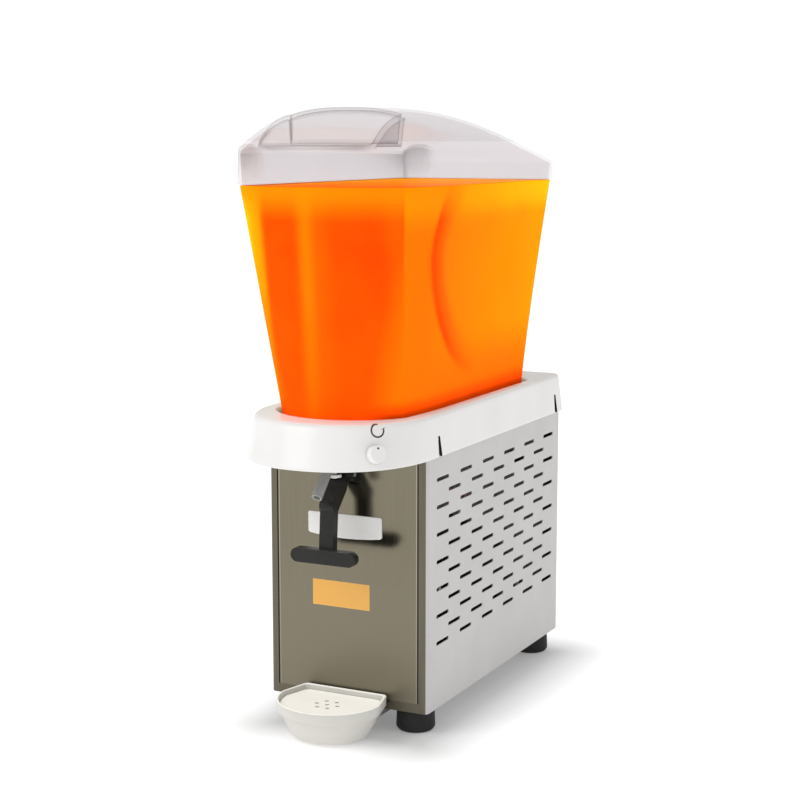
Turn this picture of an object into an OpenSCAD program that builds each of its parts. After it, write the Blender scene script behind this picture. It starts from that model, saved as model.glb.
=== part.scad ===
// Chilled juice dispenser: a refrigerated cabinet with one clear bowl, a domed lid and a lever tap.
// Up is +Z, the tap faces -Y. The origin is on the floor under the middle of the whole dispenser.

/* [Cabinet] */
// Width over the side panels
body_w = 202; // [198:1:214]
// Depth over the front and rear panels
body_d = 400; // [390:1:430]
// Height of the roof deck's underside above the floor
deck_z = 339; // [330:1:360]
// Thickness of the roof deck
deck_t = 3; // [2:0.5:5]
// Thickness of the panel sheet
sheet_t = 1.2; // [0.8:0.1:1.8]
// Outer bend radius of the upright corners
bend_r = 6; // [5:0.5:8]
// Width of the flange that a side panel turns round a corner
flange_w = 10.5; // [9:0.5:13]
// Width of the shadow groove on each side of the front panel
groove_w = 2; // [1:0.5:3]
// Height of the base pan's rim
pan_rim_h = 11; // [8:1:16]
// Leg width of the corner posts
post_leg = 20; // [18:1:26]
// Thickness of the corner posts
post_t = 2; // [1.5:0.5:3]
// Thickness of the insulation under the roof deck
pad_t = 10; // [6:1:14]

/* [Vents] */
// Rows of slots in a side panel
slot_rows = 13; // [7:1:15]
// Slots in a long row
slot_cols = 6; // [4:1:6]
// Length of a slot
slot_l = 33; // [24:1:40]
// Height of a slot
slot_h = 4.4; // [3:0.2:6]
// Spacing of the slots along a row
slot_step = 63.7; // [56:0.1:68]
// Spacing of the rows
row_step = 15.7; // [12:0.1:17]
// Distance from the top row down from the roof deck
slot_drop = 48; // [40:1:60]

/* [Feet] */
// Height of the rubber feet
foot_h = 27; // [24:1:36]
// Radius of the rubber feet
foot_r = 22.5; // [18:0.5:25]
// Distance of a foot's centre from the cabinet's corner faces
foot_inset = 27; // [25.5:0.5:34]

/* [Top cover] */
// How far the skirt's lower edge stands proud of the panels
cover_proud = 4.5; // [4:0.5:8]
// How far the skirt hangs below the roof deck's underside
skirt_drop = 21; // [12:1:26]
// Reach of the bowed nose ahead of the front panel, at its lower edge
nose_reach = 119; // [112:1:135]
// Fullness of the bow, 2 is an ellipse
nose_power = 2.2; // [2:0.1:2.6]
// How far the sides lean in towards the top
side_lean = 4.5; // [3:0.5:6]
// How far the nose leans back towards the top
nose_lean = 17; // [8:1:20]
// Depth of the well that the bowl stands in
well_depth = 20; // [14:1:26]
// Wall thickness of the cover
cover_t = 3; // [2.5:0.5:4]
// Clearance round the bowl in the well
well_gap = 3; // [2:0.5:4]
// Width of the slits in the skirt, at its lower edge
slit_w = 9; // [4:0.5:12]
// Height of the slits in the skirt
slit_h = 23; // [10:1:28]
// Distance of the slits from the middle of the cabinet
slit_y = 175; // [150:1:180]

/* [Control knob] */
// Place of the knob round the bow, from the side towards the nose tip
knob_turn = 44; // [38:1:60]
// Height of the knob's middle above the skirt's lower edge
knob_rise = 17; // [16:1:26]
// Radius of the knob
knob_r = 10; // [8:0.5:12]
// Length of the knob
knob_l = 10; // [9:0.5:18]
// Radius of the thermostat behind it
thermostat_r = 11; // [8:0.5:12]

/* [Bowl] */
// Height of the bowl
bowl_h = 271; // [220:1:320]
// How far the bowl's foot stands in from the side panels
foot_in = 18; // [16:0.5:21]
// How far the bowl's rim stands out past the side panels
rim_out = 8.5; // [-1:0.5:12]
// Reach of the foot's nose ahead of the front panel
foot_nose = 60; // [54:1:64]
// Reach of the rim's nose ahead of the front panel
rim_nose = 84; // [76:1:100]
// Reach of the foot's front corners ahead of the front panel
foot_corner = 12; // [8:1:16]
// Reach of the rim's front corners ahead of the front panel
rim_corner = 58; // [48:1:66]
// Distance of the foot's back from the rear panel
foot_back = 63; // [54:1:80]
// Distance of the rim's back from the rear panel
rim_back = 37; // [28:1:50]
// Wall thickness of the bowl
bowl_t = 4; // [3:0.5:5]
// Depth of the scoop moulded in each side of the bowl
scoop_depth = 5.5; // [0:0.5:6]
// Half length of the scoop
scoop_half = 114; // [90:1:118]
// Height of the scoop
scoop_h = 200; // [150:1:205]

/* [Lid] */
// Height of the lid above the rim at its highest
lid_h = 84; // [60:1:100]
// Height of the lid's upright side at the front
lid_side_h = 37; // [30:1:44]
// Wall thickness of the lid
lid_t = 3; // [2.5:0.5:4]
// Depth of the locating skirt inside the bowl's rim
lid_skirt = 8; // [5:1:14]
// Half width of the grip pocket
grip_half_w = 67.5; // [50:0.5:72]
// Distance of the grip pocket's back wall ahead of the front panel
grip_back = 0; // [-20:1:16]

/* [Tap] */
// Distance of the valve's axis ahead of the front panel
tap_reach = 28; // [27:0.5:31]
// Radius of the valve's bore
bore_r = 11; // [10:0.5:12]
// Wall thickness of the valve body
valve_t = 6; // [4.5:0.5:7]
// How far the valve body hangs below the roof deck's underside
valve_drop = 33; // [30:1:38]
// Outer radius of the spout
spout_r = 6; // [5:0.5:7]
// Forward reach of the spout's tip from the valve's axis
spout_reach = 41; // [34:1:46]
// Drop of the spout's tip below the valve body
spout_drop = 27; // [22:1:50]
// Wire radius of the valve spring
spring_wire_r = 0.7; // [0.5:0.1:1]
// Turns of the valve spring
spring_turns = 5; // [4:1:6]

/* [Lever] */
// Travel of the lever in degrees
lever_travel = 20; // [10:1:22]
// Drop of the lever's pin below the valve body
pin_drop = 10; // [9.5:0.5:13]
// Distance of the lever's pin ahead of the front panel
pin_reach = 9.5; // [9:0.5:11]
// Radius of the lever's pin
pin_r = 2.5; // [2:0.25:3]
// Drop of the T handle below the lever's pin
handle_drop = 86; // [70:1:100]
// Reach of the T handle ahead of the lever's pin
handle_reach = 43; // [38:1:50]
// Length of the T handle
handle_l = 80; // [50:1:100]
// Height of the T handle
handle_h = 16; // [12:1:20]
// Width of the lever's stem
stem_w = 17; // [17:0.5:22]

/* [Drip tray] */
// Reach of the tray ahead of the front panel
tray_reach = 100; // [80:1:115]
// Half width of the tray
tray_half_w = 62; // [50:1:75]
// Height of the tray's rim at the front
tray_rim_z = 44.5; // [40:0.5:47]
// Rise of the rim from the front to the back
tray_rise = 0; // [0:1:4]
// Wall thickness of the tray
tray_t = 3; // [2.5:0.5:4]
// Depth of the drip plate's bed below the tray's rim
plate_drop = 8; // [6:0.5:10]
// Thickness of the drip plate
plate_t = 2.5; // [2:0.5:4]
// Depth of the drain gap that is left ahead of the drip plate
plate_gap = 10; // [7:1:14]

/* [Cooling] */
// Radius of the evaporator dome
dome_r = 60; // [54:1:62]
// Height of the evaporator dome
dome_h = 78; // [72:1:90]
// Distance of the dome's axis behind the front panel
dome_back = 170; // [160:1:180]
// Turns of the evaporator coil
coil_turns = 5; // [3:1:5]
// Radius of the coil's tube
coil_r = 3; // [2:0.5:3]
// Radius of the compressor
compressor_r = 55; // [45:1:58]
// Height of the compressor
compressor_h = 133; // [110:1:145]
// Radius of the fan
fan_r = 66; // [50:1:70]
// Blades of the fan
fan_blades = 5; // [3:1:7]
// Fins of the condenser
fin_count = 17; // [9:2:17]
// Reach of the stirrer's blades
stirrer_r = 50; // [36:1:54]

/* [Rear fittings] */
// Radius of the cable inlet's flange
inlet_r = 12; // [10:0.5:14]
// How far the cable inlet stands out of the rear panel
inlet_reach = 8; // [5.5:0.5:12]
// Bore radius of the cable inlet
inlet_bore_r = 4.5; // [3:0.5:5]

/* [Hidden] */
$fn = 64;

// Cutting overrun, sliding gap, running fit and loose fit
over = 1;
slide_gap = 0.35;
run_fit = 0.06;
loose = 0.3;

// Main places, from the middle of the cabinet
side_x = body_w / 2;
front_y = -body_d / 2;
rear_y = body_d / 2;
pan_floor = foot_h + sheet_t;
panel_z = foot_h + pan_rim_h;
deck_top = deck_z + deck_t;
bow_start = 5;
bow_y = front_y + bow_start;
nose_y = front_y - nose_reach;
tail_y = rear_y + inlet_reach;
mid_shift = -(nose_y + tail_y) / 2;

// Top cover
well_floor_t = 4;
skirt_z = deck_z - skirt_drop;
seat_z = deck_top + well_floor_t;
cover_top = seat_z + well_depth;
cover_edge = 5;
cover_edge_mid = [1.2, 3];
cover_room = 0.6;
cover_corner_r = 10;
cover_half = side_x + cover_proud;
bow_reach = bow_y - nose_y;
bow_steps = 40;
corner_steps = 5;
lean_z = cover_top - cover_edge;

// Bowl and lid
bowl_foot_w = body_w - 2 * foot_in;
bowl_rim_w = body_w + 2 * rim_out;
rim_z = seat_z + bowl_h;
rim_front = front_y - rim_nose;
rim_rear = rear_y - rim_back;
front_steps = 14;
side_steps = 4;
run_steps = 10;
flare_power = 1.2;
bowl_corner_r = 25;
crease_in = [7, 6];
crease_run = [90, 20];
crease_share = [0.8, 0.6];
foot_round = 5;
floor_round = [1, 6];
floor_rise = 0.035;
bowl_rows = [0.02, 0.1, 0.18, 0.26, 0.36, 0.46, 0.56, 0.66, 0.76, 0.86, 0.93, 1];
scoop_back = 140;
scoop_drop = 21;
scoop_edge = 0.35;
scoop_fade = 60;
scoop_y = front_y + scoop_back;
scoop_z = rim_z - scoop_drop;
lid_mid = 50;
lid_mid_y = front_y + lid_mid;
lid_lean = 1;
lid_power = 2.4;
lid_span = bowl_rim_w / 2;
lid_fall = 80;
lid_fall_y = front_y + lid_fall;
lid_fall_power = 2;
lid_front_r = 72;
lid_front_power = 1.6;
lid_rear_r = 40;
lid_rear_power = 2;
lid_back_h = 24;
lid_side_back_h = 20;
lid_fit = 0.6;
lid_skirt_taper = 1.6;
grip_rise = 7;
grip_floor_z = rim_z + lid_side_h + grip_rise;
grip_over = 20;

// Tap and lever
tap_y = front_y - tap_reach;
valve_r = bore_r + valve_t;
valve_z = deck_z - valve_drop;
valve_floor = 4;
valve_flange_r = valve_r + 6;
valve_flange_t = 4;
neck_t = 4;
neck_r = bore_r + neck_t;
neck_room = 1.3;
web_t = 3;
web_drop = 6;
web_rim = 4;
web_z = seat_z + bowl_t - web_drop;
web_hole_r = bore_r - web_rim;
plunger_r = 3;
plunger_tip = 1.5;
head_gap = 2;
head_r = bore_r - head_gap;
head_h = 6;
seal_t = 2;
head_z = web_z - seal_t - head_h;
seal_groove = [1, 2];
seal_groove_z = seat_z + 1;
seal_gap = 0.1;
seal_out = 0.8;
push_fit = 0.05;
spring_seat = 0.2;
spring_in = 0.5;
spring_steps = 16;
spout_t = 2;
spout_root = [1.5, 7];
spout_start = [tap_y - bore_r + spout_root[0], valve_z + spout_root[1]];
spout_tip = [tap_y - spout_reach, valve_z - spout_drop];
spout_run = norm(spout_tip - spout_start);
spout_tilt = atan2(spout_start[0] - spout_tip[0], spout_start[1] - spout_tip[1]);
pin_y = front_y - pin_reach;
pin_z = valve_z - pin_drop;
hub_r = 7;
hub_half = 11.5;
tine_r = 2.2;
tine_gap = 1.2;
tine_w = 4;
tine_top_gap = 0.8;
tine_root = [1, 3];
tine_in = plunger_r + tine_gap;
tine_out = tine_in + tine_w;
tine_rise = pin_drop - tine_r - tine_top_gap;
tine_reach = pin_y - tap_y;
collar_r = 8;
collar_t = 3;
collar_gap = 2.3;
collar_z = pin_z + tine_rise - tine_r - collar_gap - collar_t;
plunger_stroke = tine_reach * sin(lever_travel) + tine_rise * (1 - cos(lever_travel));
stem_t = 12;
stem_knee_t = 16;
stem_swell = 0.4;
stem_tip_t = 11;
stem_back = 8;
knee_run = 31;
knee = [pin_y - knee_run, pin_z - knee_run];
swell = [pin_y - knee_run * stem_swell, pin_z - knee_run * stem_swell];
handle = [pin_y - handle_reach, pin_z - handle_drop];
handle_t = 11;
bracket_t = 2;
bracket_side = 4;
bracket_down = 10;
bracket_up = 9;
ear_gap = 0.5;
ear_in = hub_half + ear_gap;
ear_t = 3.5;
ear_h = 13;
ear_root = 3;
pin_end = 1;

// Evaporator, stirrer and drive
dome_y = front_y + dome_back;
dome_t = 2;
dome_top = deck_top + dome_h;
dome_edge_r = 12;
dome_room = 4;
dome_hole_r = dome_r + dome_room;
gasket_fit = 0.1;
shaft_r = 4;
shaft_in = 35;
stirrer_pin_h = 30;
stirrer_gap = 1;
stirrer_hub_r = 13;
stirrer_hub_h = 26;
stirrer_blades = 4;
stirrer_blade = [8, 4, 20];
stirrer_blade_z = 3;
motor_bore_z = 20;
motor_r = 32;
motor_flange_r = 36;
motor_hole_r = 30;
motor_h = 67;
motor_flange_t = 4;
rotor_r = dome_r - 20;
rotor_t = 14;
magnet_r = 6;
magnet_t = 4;
magnet_share = 0.7;
magnet_gap = 2;
rotor_z = dome_top - dome_t - magnet_gap - magnet_t - rotor_t;
coil_gap = 4;
coil_rise = 10;
coil_head = 3;
coil_mid_r = dome_r - dome_t - coil_gap - coil_r;
coil_z = deck_top + coil_rise;
coil_pitch = (rotor_z - coil_head - coil_r - coil_z) / coil_turns;
coil_steps = 22;
coil_end_drop = 4;
coil_end_z = deck_z - pad_t - coil_end_drop;
coil_tail_step = 13;
coil_tail_in = coil_mid_r - coil_tail_step;
coil_tail = 14;
coil_top = coil_z + coil_pitch * coil_turns;
line_hole_r = coil_r + 1;

// Cooling machine in the cabinet
mount_h = 10;
mount_r = 9;
mount_stud_r = 3.6;
mount_stud_h = 3;
compressor_back = 100;
compressor_y = rear_y - compressor_back;
compressor_z = pan_floor + mount_h;
compressor_plate_t = 3;
compressor_plate = [compressor_r + 12, compressor_r + 2];
compressor_hole_r = 4;
compressor_hole_in = 9;
compressor_round = 0.45;
compressor_top = compressor_z + compressor_plate_t + compressor_h;
port_r = 4;
port_h = 12;
port_x = 15;
port_y = 12;
condenser_back = 65;
condenser_y = front_y + condenser_back;
condenser_d = 40;
condenser_h = 180;
condenser_rise = 16;
condenser_z = pan_floor + condenser_rise;
fin_step = 8;
fin_t = 1;
fin_half = fin_step * (fin_count - 1) / 2;
end_plate_t = 2;
tube_r = 4;
tube_count = 8;
tube_step = condenser_h / tube_count;
tube_end = 2;
tube_half = fin_half + fin_step / 2 + end_plate_t + tube_end;
condenser_top = condenser_z + condenser_h;
condenser_port_x = fin_half - fin_step / 2;
fan_rise = 94;
fan_z = pan_floor + fan_rise;
shroud_gap = 7;
shroud_y = condenser_y + condenser_d / 2 + shroud_gap;
shroud_t = 3;
shroud_rim = 10;
shroud_room = 5;
shroud_half = fan_r + shroud_rim;
shroud_hole_r = fan_r + shroud_room;
fan_hub_r = 16;
fan_hub_l = 20;
fan_gap = 1;
fan_y = shroud_y + shroud_t + fan_gap;
fan_shaft_r = 3;
fan_shaft_in = 20;
fan_blade = [32, 2];
fan_blade_root = 4;
fan_pitch = 25;
fan_motor_r = 26;
fan_motor_l = 42;
fan_motor_gap = 14;
fan_motor_y = fan_y + fan_hub_l + fan_motor_gap;
fan_bore_l = 22;
stand_t = 6;
stand_rim = 6;
stand_back = 12;
stand_half = fan_motor_r + stand_rim;
line_r = 3;
fine_line_r = 2;
line_rise = 12;
line_z = condenser_top + port_h + line_rise;
drier_r = 10;
drier_l = 90;
drier_neck_r = 4;
drier_cone = 12;
drier_back = 70;
drier_y = condenser_y + drier_back;
drier_x = -condenser_port_x;
drier_tail = drier_y + drier_l;
port_top = compressor_top + port_h;
condenser_port_top = condenser_top + port_h;

// Routes of the refrigerant lines and of the coil's tails, from the middle of the cabinet
discharge_path = [
    [port_x, compressor_y - port_y, port_top], [port_x, compressor_y - port_y, line_z - 8],
    [port_x + 2, compressor_y - port_y - 6, line_z - 2],
    [port_x + 8, compressor_y - port_y - 20, line_z],
    [condenser_port_x, condenser_y + 22, line_z], [condenser_port_x, condenser_y + 8, line_z],
    [condenser_port_x, condenser_y + 2, line_z - 2], [condenser_port_x, condenser_y, line_z - 8],
    [condenser_port_x, condenser_y, condenser_port_top]];
condenser_path = [
    [drier_x, condenser_y, condenser_port_top], [drier_x, condenser_y, line_z - 7],
    [drier_x, condenser_y + 2, line_z - 2], [drier_x, condenser_y + 7, line_z],
    [drier_x, drier_y, line_z]];
capillary_path = [
    [drier_x, drier_tail, line_z], [drier_x, drier_tail + 10, line_z],
    [drier_x + 4, drier_tail + 18, line_z + 3], [drier_x + 14, drier_tail + 24, line_z + 8],
    [coil_tail_in - 16, dome_y + 50, coil_end_z - 30],
    [coil_tail_in - 4, dome_y + 24, coil_end_z - 22],
    [coil_tail_in, dome_y + 15, coil_end_z - 14],
    [coil_tail_in, dome_y + coil_tail, coil_end_z - 8],
    [coil_tail_in, dome_y + coil_tail, coil_end_z]];
suction_path = [
    [coil_mid_r, dome_y - coil_tail, coil_end_z], [coil_mid_r, dome_y - coil_tail, coil_end_z - 14],
    [coil_mid_r + 1, dome_y - 9, coil_end_z - 22], [coil_mid_r + 2, dome_y + 4, coil_end_z - 30],
    [coil_mid_r - 12, compressor_y - 30, line_z + 14], [0, compressor_y + 8, line_z + 4],
    [-port_x + 3, compressor_y + port_y - 1, line_z],
    [-port_x, compressor_y + port_y, line_z - 8],
    [-port_x, compressor_y + port_y, port_top]];
coil_lower_tail = [
    [coil_mid_r, -coil_tail, coil_end_z], [coil_mid_r, -coil_tail, coil_z - 8],
    [coil_mid_r, -10, coil_z - 3]];
coil_upper_tail = [
    [coil_mid_r - 2, 8, coil_top + 0.6], [coil_mid_r - 7, 12, coil_top],
    [coil_tail_in + 1, coil_tail, coil_top - 3], [coil_tail_in, coil_tail, coil_top - 8],
    [coil_tail_in, coil_tail, coil_end_z]];

// Feet, tray and rear fittings
foot_x = side_x - foot_inset;
foot_y = rear_y - foot_inset;
bolt_r = 3;
bolt_head_r = 6;
bolt_head_z = 7;
bolt_head_t = 4;
bolt_tail = 8;
bolt_top = pan_floor + bolt_tail;
bolt_room = 1;
nut_r = 6;
nut_h = 5;
foot_chamfer = [3, 4];
foot_taper = 1;
tray_gap = 3.5;
tray_straight = 40;
tray_shoulder = 8;
tray_chamfer = 5;
tray_steps = 24;
tray_back_y = front_y - tray_gap;
tray_mid_y = front_y - tray_straight;
tray_front_y = front_y - tray_reach;
tray_back_half = tray_half_w - tray_shoulder;
tray_foot_z = 3;
tray_floor_z = tray_foot_z + 7;
tray_floor_share = (tray_floor_z - tray_foot_z) / (tray_rim_z - tray_foot_z) / 2;
ledge_in = 4.5;

// Tray section as [height, inset], up the outside, and [height, inset, back inset], down the inside
tray_outer = [[tray_foot_z, 20], [tray_foot_z + 5, 15], [tray_rim_z - 22, 8],
    [tray_rim_z - 12.5, 4.5], [tray_rim_z - 12, 0.5], [tray_rim_z, 0]];
tray_inner = [[tray_rim_z, 0, 0], [tray_rim_z - plate_drop, 1, 0], [tray_rim_z - plate_drop, ledge_in, 3],
    [tray_rim_z - 20, 9, 4], [tray_floor_z, 17, 9]];
plate_in = 1.6;
plate_front_y = tray_front_y + tray_t + ledge_in + plate_gap;
plate_z = tray_rim_z - plate_drop;
drain_y = front_y - 48;
drain_r = 2.5;
drain_ring_r = 13;
drain_count = 6;
tongue_x = 20;
tongue_w = 16;
tongue_t = 3;
tongue_l = 62;
tongue_drop = 7.5;
tongue_z = foot_h - tongue_drop;
guide_wall = 4;
guide_l = 60;
guide_start = 2;
rear_half = side_x - flange_w - loose;
screw_r = 2;
screw_head_r = 4.5;
screw_head_t = 2.5;
screw_tail = 4;
screw_in = 5;
screw_end = 25;
screw_lower = 12;
screw_x = side_x - sheet_t - post_leg + screw_in;
screw_z = [panel_z + screw_end, (panel_z + deck_z) / 2 - screw_lower, skirt_z - screw_end];
rear_slot_l = 60;
rear_slot_x = -42;
rear_slot_up = 22;
rear_slot_z = panel_z + rear_slot_up;
rear_slot_rows = 6;
switch_x = 45;
switch_drop = 68;
switch_z = skirt_z - switch_drop;
switch_w = 14;
switch_h = 24;
switch_d = 18;
rocker_w = 10;
rocker_h = 20;
rocker_t = 4;
rocker_tilt = 7;
rocker_sunk = 0.5;
rocker_room = [0.4, 5, 0.6];
trunnion_r = 1.5;
trunnion_l = 1.2;
trunnion_room = 0.2;
switch_lip = 2;
inlet_x = 45;
inlet_rise = 45;
inlet_z = panel_z + inlet_rise;
inlet_lip = 3;
inlet_boss = 4;
inlet_in = 10;
box_shift = -12;
box_rise = 14;
box_w = 60;
box_d = 34;
box_h = 80;

// Slits in the skirt, and the openings behind them that the cover's catches reach through
slit_taper = 0.55;
slit_top_w = slit_w * slit_taper;
catch_w = 25;
catch_h = 18;

// Control knob and thermostat, along the knob's axis from the cover's face
bushing_r = 5;
bushing_in = 9;
bushing_out = 0.3;
spindle_r = 3;
spindle_in = 14;
spindle_bore = 15;
thermostat_in = 22;
thermostat_l = 14;
knob_gap = 1.4;
knob_taper = 1;
dot_share = 0.62;
dot_r = 1.4;
dot_deep = 0.5;

// Insulation
pad_room = 1;
pad_notch = 10;

// Small helpers
function mix(a, b, t) = a + (b - a) * t;
function bulge(v, p) = sign(v) * pow(abs(v), 2 / p);
function unit(v) = v / norm(v);
function flat(rings) = [for (r = rings) for (p = r) p];
function at_z(outline, z) = [for (p = outline) [p[0], p[1], z]];
function smooth(t) = let (u = max(0, min(1, t))) u * u * (3 - 2 * u);

// Closed outline of the top cover: bowed nose, straight sides, rounded rear corners
function cover_outline(w, reach, back, r) = concat(
    [for (i = [0:bow_steps]) let (a = 180 + 180 * i / bow_steps)
        [w * bulge(cos(a), nose_power), bow_y + reach * bulge(sin(a), nose_power)]],
    [for (i = [0:corner_steps]) let (a = 90 * i / corner_steps)
        [w - r + r * cos(a), back - r + r * sin(a)]],
    [for (i = [0:corner_steps]) let (a = 90 + 90 * i / corner_steps)
        [r - w + r * cos(a), back - r + r * sin(a)]]);

// Lean of the cover's outer face at a height, 0 at the lower edge and 1 where the top edge rounds
function lean(z) = (z - skirt_z) / (lean_z - skirt_z);
function cover_w(z) = cover_half - side_lean * lean(z);
function cover_reach(z) = bow_reach - nose_lean * lean(z);
function cover_back(z) = rear_y + cover_proud - side_lean / 2 * lean(z);
function cover_ring(z, inset, rz) = at_z(cover_outline(cover_w(z) - inset, cover_reach(z) - inset,
    cover_back(z) - inset, cover_corner_r - inset), rz);

// Depth of the side scoop at a point of the wall: half an ellipse that fades out towards the rim
function scoop(y, z) = scoop_depth * smooth((scoop_z - z) / scoop_fade)
    * smooth((1 - norm([(y - scoop_y) / scoop_half, (scoop_z - z) / scoop_h])) / scoop_edge);

// Closed outline of the bowl: bowed front between two corner creases, rounded rear corners
function bowl_outline(t, inset, runs = 1) = let (
    z = seat_z + bowl_h * t,
    s = pow(t, flare_power),
    w = mix(bowl_foot_w, bowl_rim_w, s) / 2 - inset,
    cw = mix(bowl_foot_w / 2 - crease_in[0], bowl_rim_w / 2 - crease_in[1], t)
        - inset * crease_share[0],
    cy = front_y - mix(foot_corner, rim_corner, t) + inset * crease_share[1],
    f = front_y - mix(foot_nose, rim_nose, t) + inset,
    sy = front_y + mix(crease_run[0], crease_run[1], t),
    b = rear_y - mix(foot_back, rim_back, s) - inset,
    r = bowl_corner_r - inset,
    rise = cy - f,
    big = (cw * cw + rise * rise) / (2 * rise),
    half = asin(cw / big),
    side = concat(
        [for (i = [1:side_steps]) let (u = i / side_steps, y = mix(cy, sy, u))
            [w - (w - cw) * (1 - u) * (1 - u) - scoop(y, z), y]],
        [for (i = [1:1:runs - 1]) let (y = mix(sy, b - r, i / runs)) [w - scoop(y, z), y]]))
    concat(
        [for (i = [0:front_steps]) let (a = half * (2 * i / front_steps - 1))
            [big * sin(a), f + big - big * cos(a)]],
        side,
        [for (i = [0:corner_steps]) let (a = 90 * i / corner_steps)
            [w - r + r * cos(a), b - r + r * sin(a)]],
        [for (i = [0:corner_steps]) let (a = 90 + 90 * i / corner_steps)
            [r - w + r * cos(a), b - r + r * sin(a)]],
        [for (i = [len(side) - 1:-1:0]) [-side[i][0], side[i][1]]]);
function bowl_ring(t, inset) = at_z(bowl_outline(t, inset, run_steps), seat_z + bowl_h * t);

// Height of the lid over the rim: upright side, then an arched crown that falls away to the back
function lid_side(y) = mix(lid_side_h, lid_side_back_h, (y - rim_front) / (rim_rear - rim_front));
function lid_ridge(y) = y < lid_fall_y ? lid_h :
    lid_h - (lid_h - lid_back_h) * pow((y - lid_fall_y) / (rim_rear - lid_fall_y), lid_fall_power);
function lid_arch(u) = pow(max(0, 1 - pow(min(1, u), lid_power)), 1 / lid_power);
function lid_edge(d, r, p) = let (t = max(0, min(1, 1 - d / r))) pow(1 - pow(t, p), 1 / p);
function lid_front(x) = let (
    w = lid_span - crease_in[1],
    rise = rim_nose - rim_corner,
    big = (w * w + rise * rise) / (2 * rise))
    rim_front + big - sqrt(big * big - x * x);
function lid_up(x, y, inset, drop) = rim_z + lid_side(y) - drop + (lid_ridge(y) - lid_side(y))
    * lid_arch(abs(x) / (lid_span - inset))
    * lid_edge(y - lid_front(x) - inset, lid_front_r, lid_front_power)
    * lid_edge(rim_rear - inset - y, lid_rear_r, lid_rear_power);
function lid_ring(s, inset, drop) = [for (p = bowl_outline(1, inset)) let (
    mid = [0, lid_mid_y],
    q = mid + (p - mid) * (1 - s))
    [q[0], q[1], lid_up(q[0], q[1], inset, drop)]];
lid_rows = [0, 0.02, 0.05, 0.1, 0.17, 0.26, 0.38, 0.52, 0.68, 0.85];

// Closed outline of the tray, straight at the back and bowed at the front
function tray_outline(inset, back) = concat(
    [for (i = [0:tray_steps]) let (a = 180 + 180 * i / tray_steps)
        [(tray_half_w - inset) * cos(a),
         tray_mid_y + (tray_reach - tray_straight - inset) * sin(a)]],
    [for (s = [1, -1], k = [[0, 1], [1, 0]]) let (e = s > 0 ? k : [k[1], k[0]])
        [s * (tray_back_half - inset - tray_chamfer * e[0]), back - tray_chamfer * e[1]]]);
function tray_ring(z, inset, back) = [for (p = tray_outline(inset, back))
    [p[0], p[1], z + tray_rise * (z - tray_foot_z) / (tray_rim_z - tray_foot_z)
        * (p[1] - tray_front_y) / (tray_back_y - tray_front_y)]];

// Frames carried along a path without twisting
function tangents(path) = [for (i = [0:len(path) - 1])
    unit(path[min(i + 1, len(path) - 1)] - path[max(i - 1, 0)])];
function swing(n, t) = unit(n - (n * t) * t);
function normals(t, i, n) = i >= len(t) ? [] :
    concat([n], normals(t, i + 1, i + 1 >= len(t) ? n : swing(n, t[i + 1])));

// Point of the cover's outer face beside the knob, and the way that face looks
knob_z = skirt_z + knob_rise;
function cover_face(turn, z) = [cover_w(z) * bulge(cos(turn), nose_power),
    bow_y - cover_reach(z) * bulge(sin(turn), nose_power), z];
knob_at = cover_face(knob_turn, knob_z);
knob_out = unit(cross(cover_face(knob_turn, knob_z + 1) - knob_at,
    cover_face(knob_turn + 1, knob_z) - knob_at));
knob_way = knob_out[0] > 0 ? knob_out : -knob_out;
echo(knob_at = knob_at + [0, mid_shift, 0], knob_way = knob_way);

// Skin through a list of rings, closed by a fan at each end
module skin(rings, first, last) {
    n = len(rings[0]);
    m = len(rings);
    polyhedron(
        points = concat(flat(rings), [first, last]),
        faces = concat(
            [for (k = [0:n - 1]) [m * n, k, (k + 1) % n]],
            [for (i = [0:m - 2]) for (k = [0:n - 1])
                [i * n + k, (i + 1) * n + k, (i + 1) * n + (k + 1) % n]],
            [for (i = [0:m - 2]) for (k = [0:n - 1])
                [i * n + k, (i + 1) * n + (k + 1) % n, i * n + (k + 1) % n]],
            [for (k = [0:n - 1]) [m * n + 1, (m - 1) * n + (k + 1) % n, (m - 1) * n + k]]));
}

// Round tube along a path
module tube(path, r, sides) {
    t = tangents(path);
    n = normals(t, 0, swing([0.3, 1, 0.2], t[0]));
    rings = [for (i = [0:len(path) - 1]) [for (k = [0:sides - 1]) let (a = 360 * k / sides)
        path[i] + r * (cos(a) * n[i] + sin(a) * cross(t[i], n[i]))]];
    skin(rings, path[0], path[len(path) - 1]);
}

// Shift from the middle of the cabinet to the middle of the whole
module place() {
    translate([0, mid_shift, 0]) children();
}

module both() {
    children();
    mirror([1, 0, 0]) children();
}

module four() {
    both() {
        children();
        mirror([0, 1, 0]) children();
    }
}

// Rectangle with true round corners
module round_rect(w, d, r) {
    square([w - 2 * r, d], center = true);
    square([w, d - 2 * r], center = true);
    for (x = [-1, 1], y = [-1, 1]) translate([x * (w / 2 - r), y * (d / 2 - r)]) circle(r);
}

// Bar with round ends between two points of a side view
module bar(p, q, w) {
    translate(p) rotate(atan2(q[1] - p[1], q[0] - p[0])) {
        circle(w / 2);
        translate([norm(q - p), 0]) circle(w / 2);
        translate([0, -w / 2]) square([norm(q - p), w]);
    }
}

// Side view drawn as [y, z] and carried along X from x0 to x1
module across(x0, x1) {
    translate([x0, 0, 0]) rotate([90, 0, 90]) linear_extrude(x1 - x0) children();
}

// Rod along X and rod along Y
module rod_x(r, x0, x1) {
    translate([x0, 0, 0]) rotate([0, 90, 0]) cylinder(r = r, h = x1 - x0);
}

module rod_y(r, y0, y1) {
    translate([0, y1, 0]) rotate([90, 0, 0]) cylinder(r = r, h = y1 - y0);
}

module slot_2d(l, h) {
    square([l - h, h], center = true);
    for (s = [-1, 1]) translate([s * (l - h) / 2, 0]) circle(h / 2, $fn = 24);
}

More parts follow.
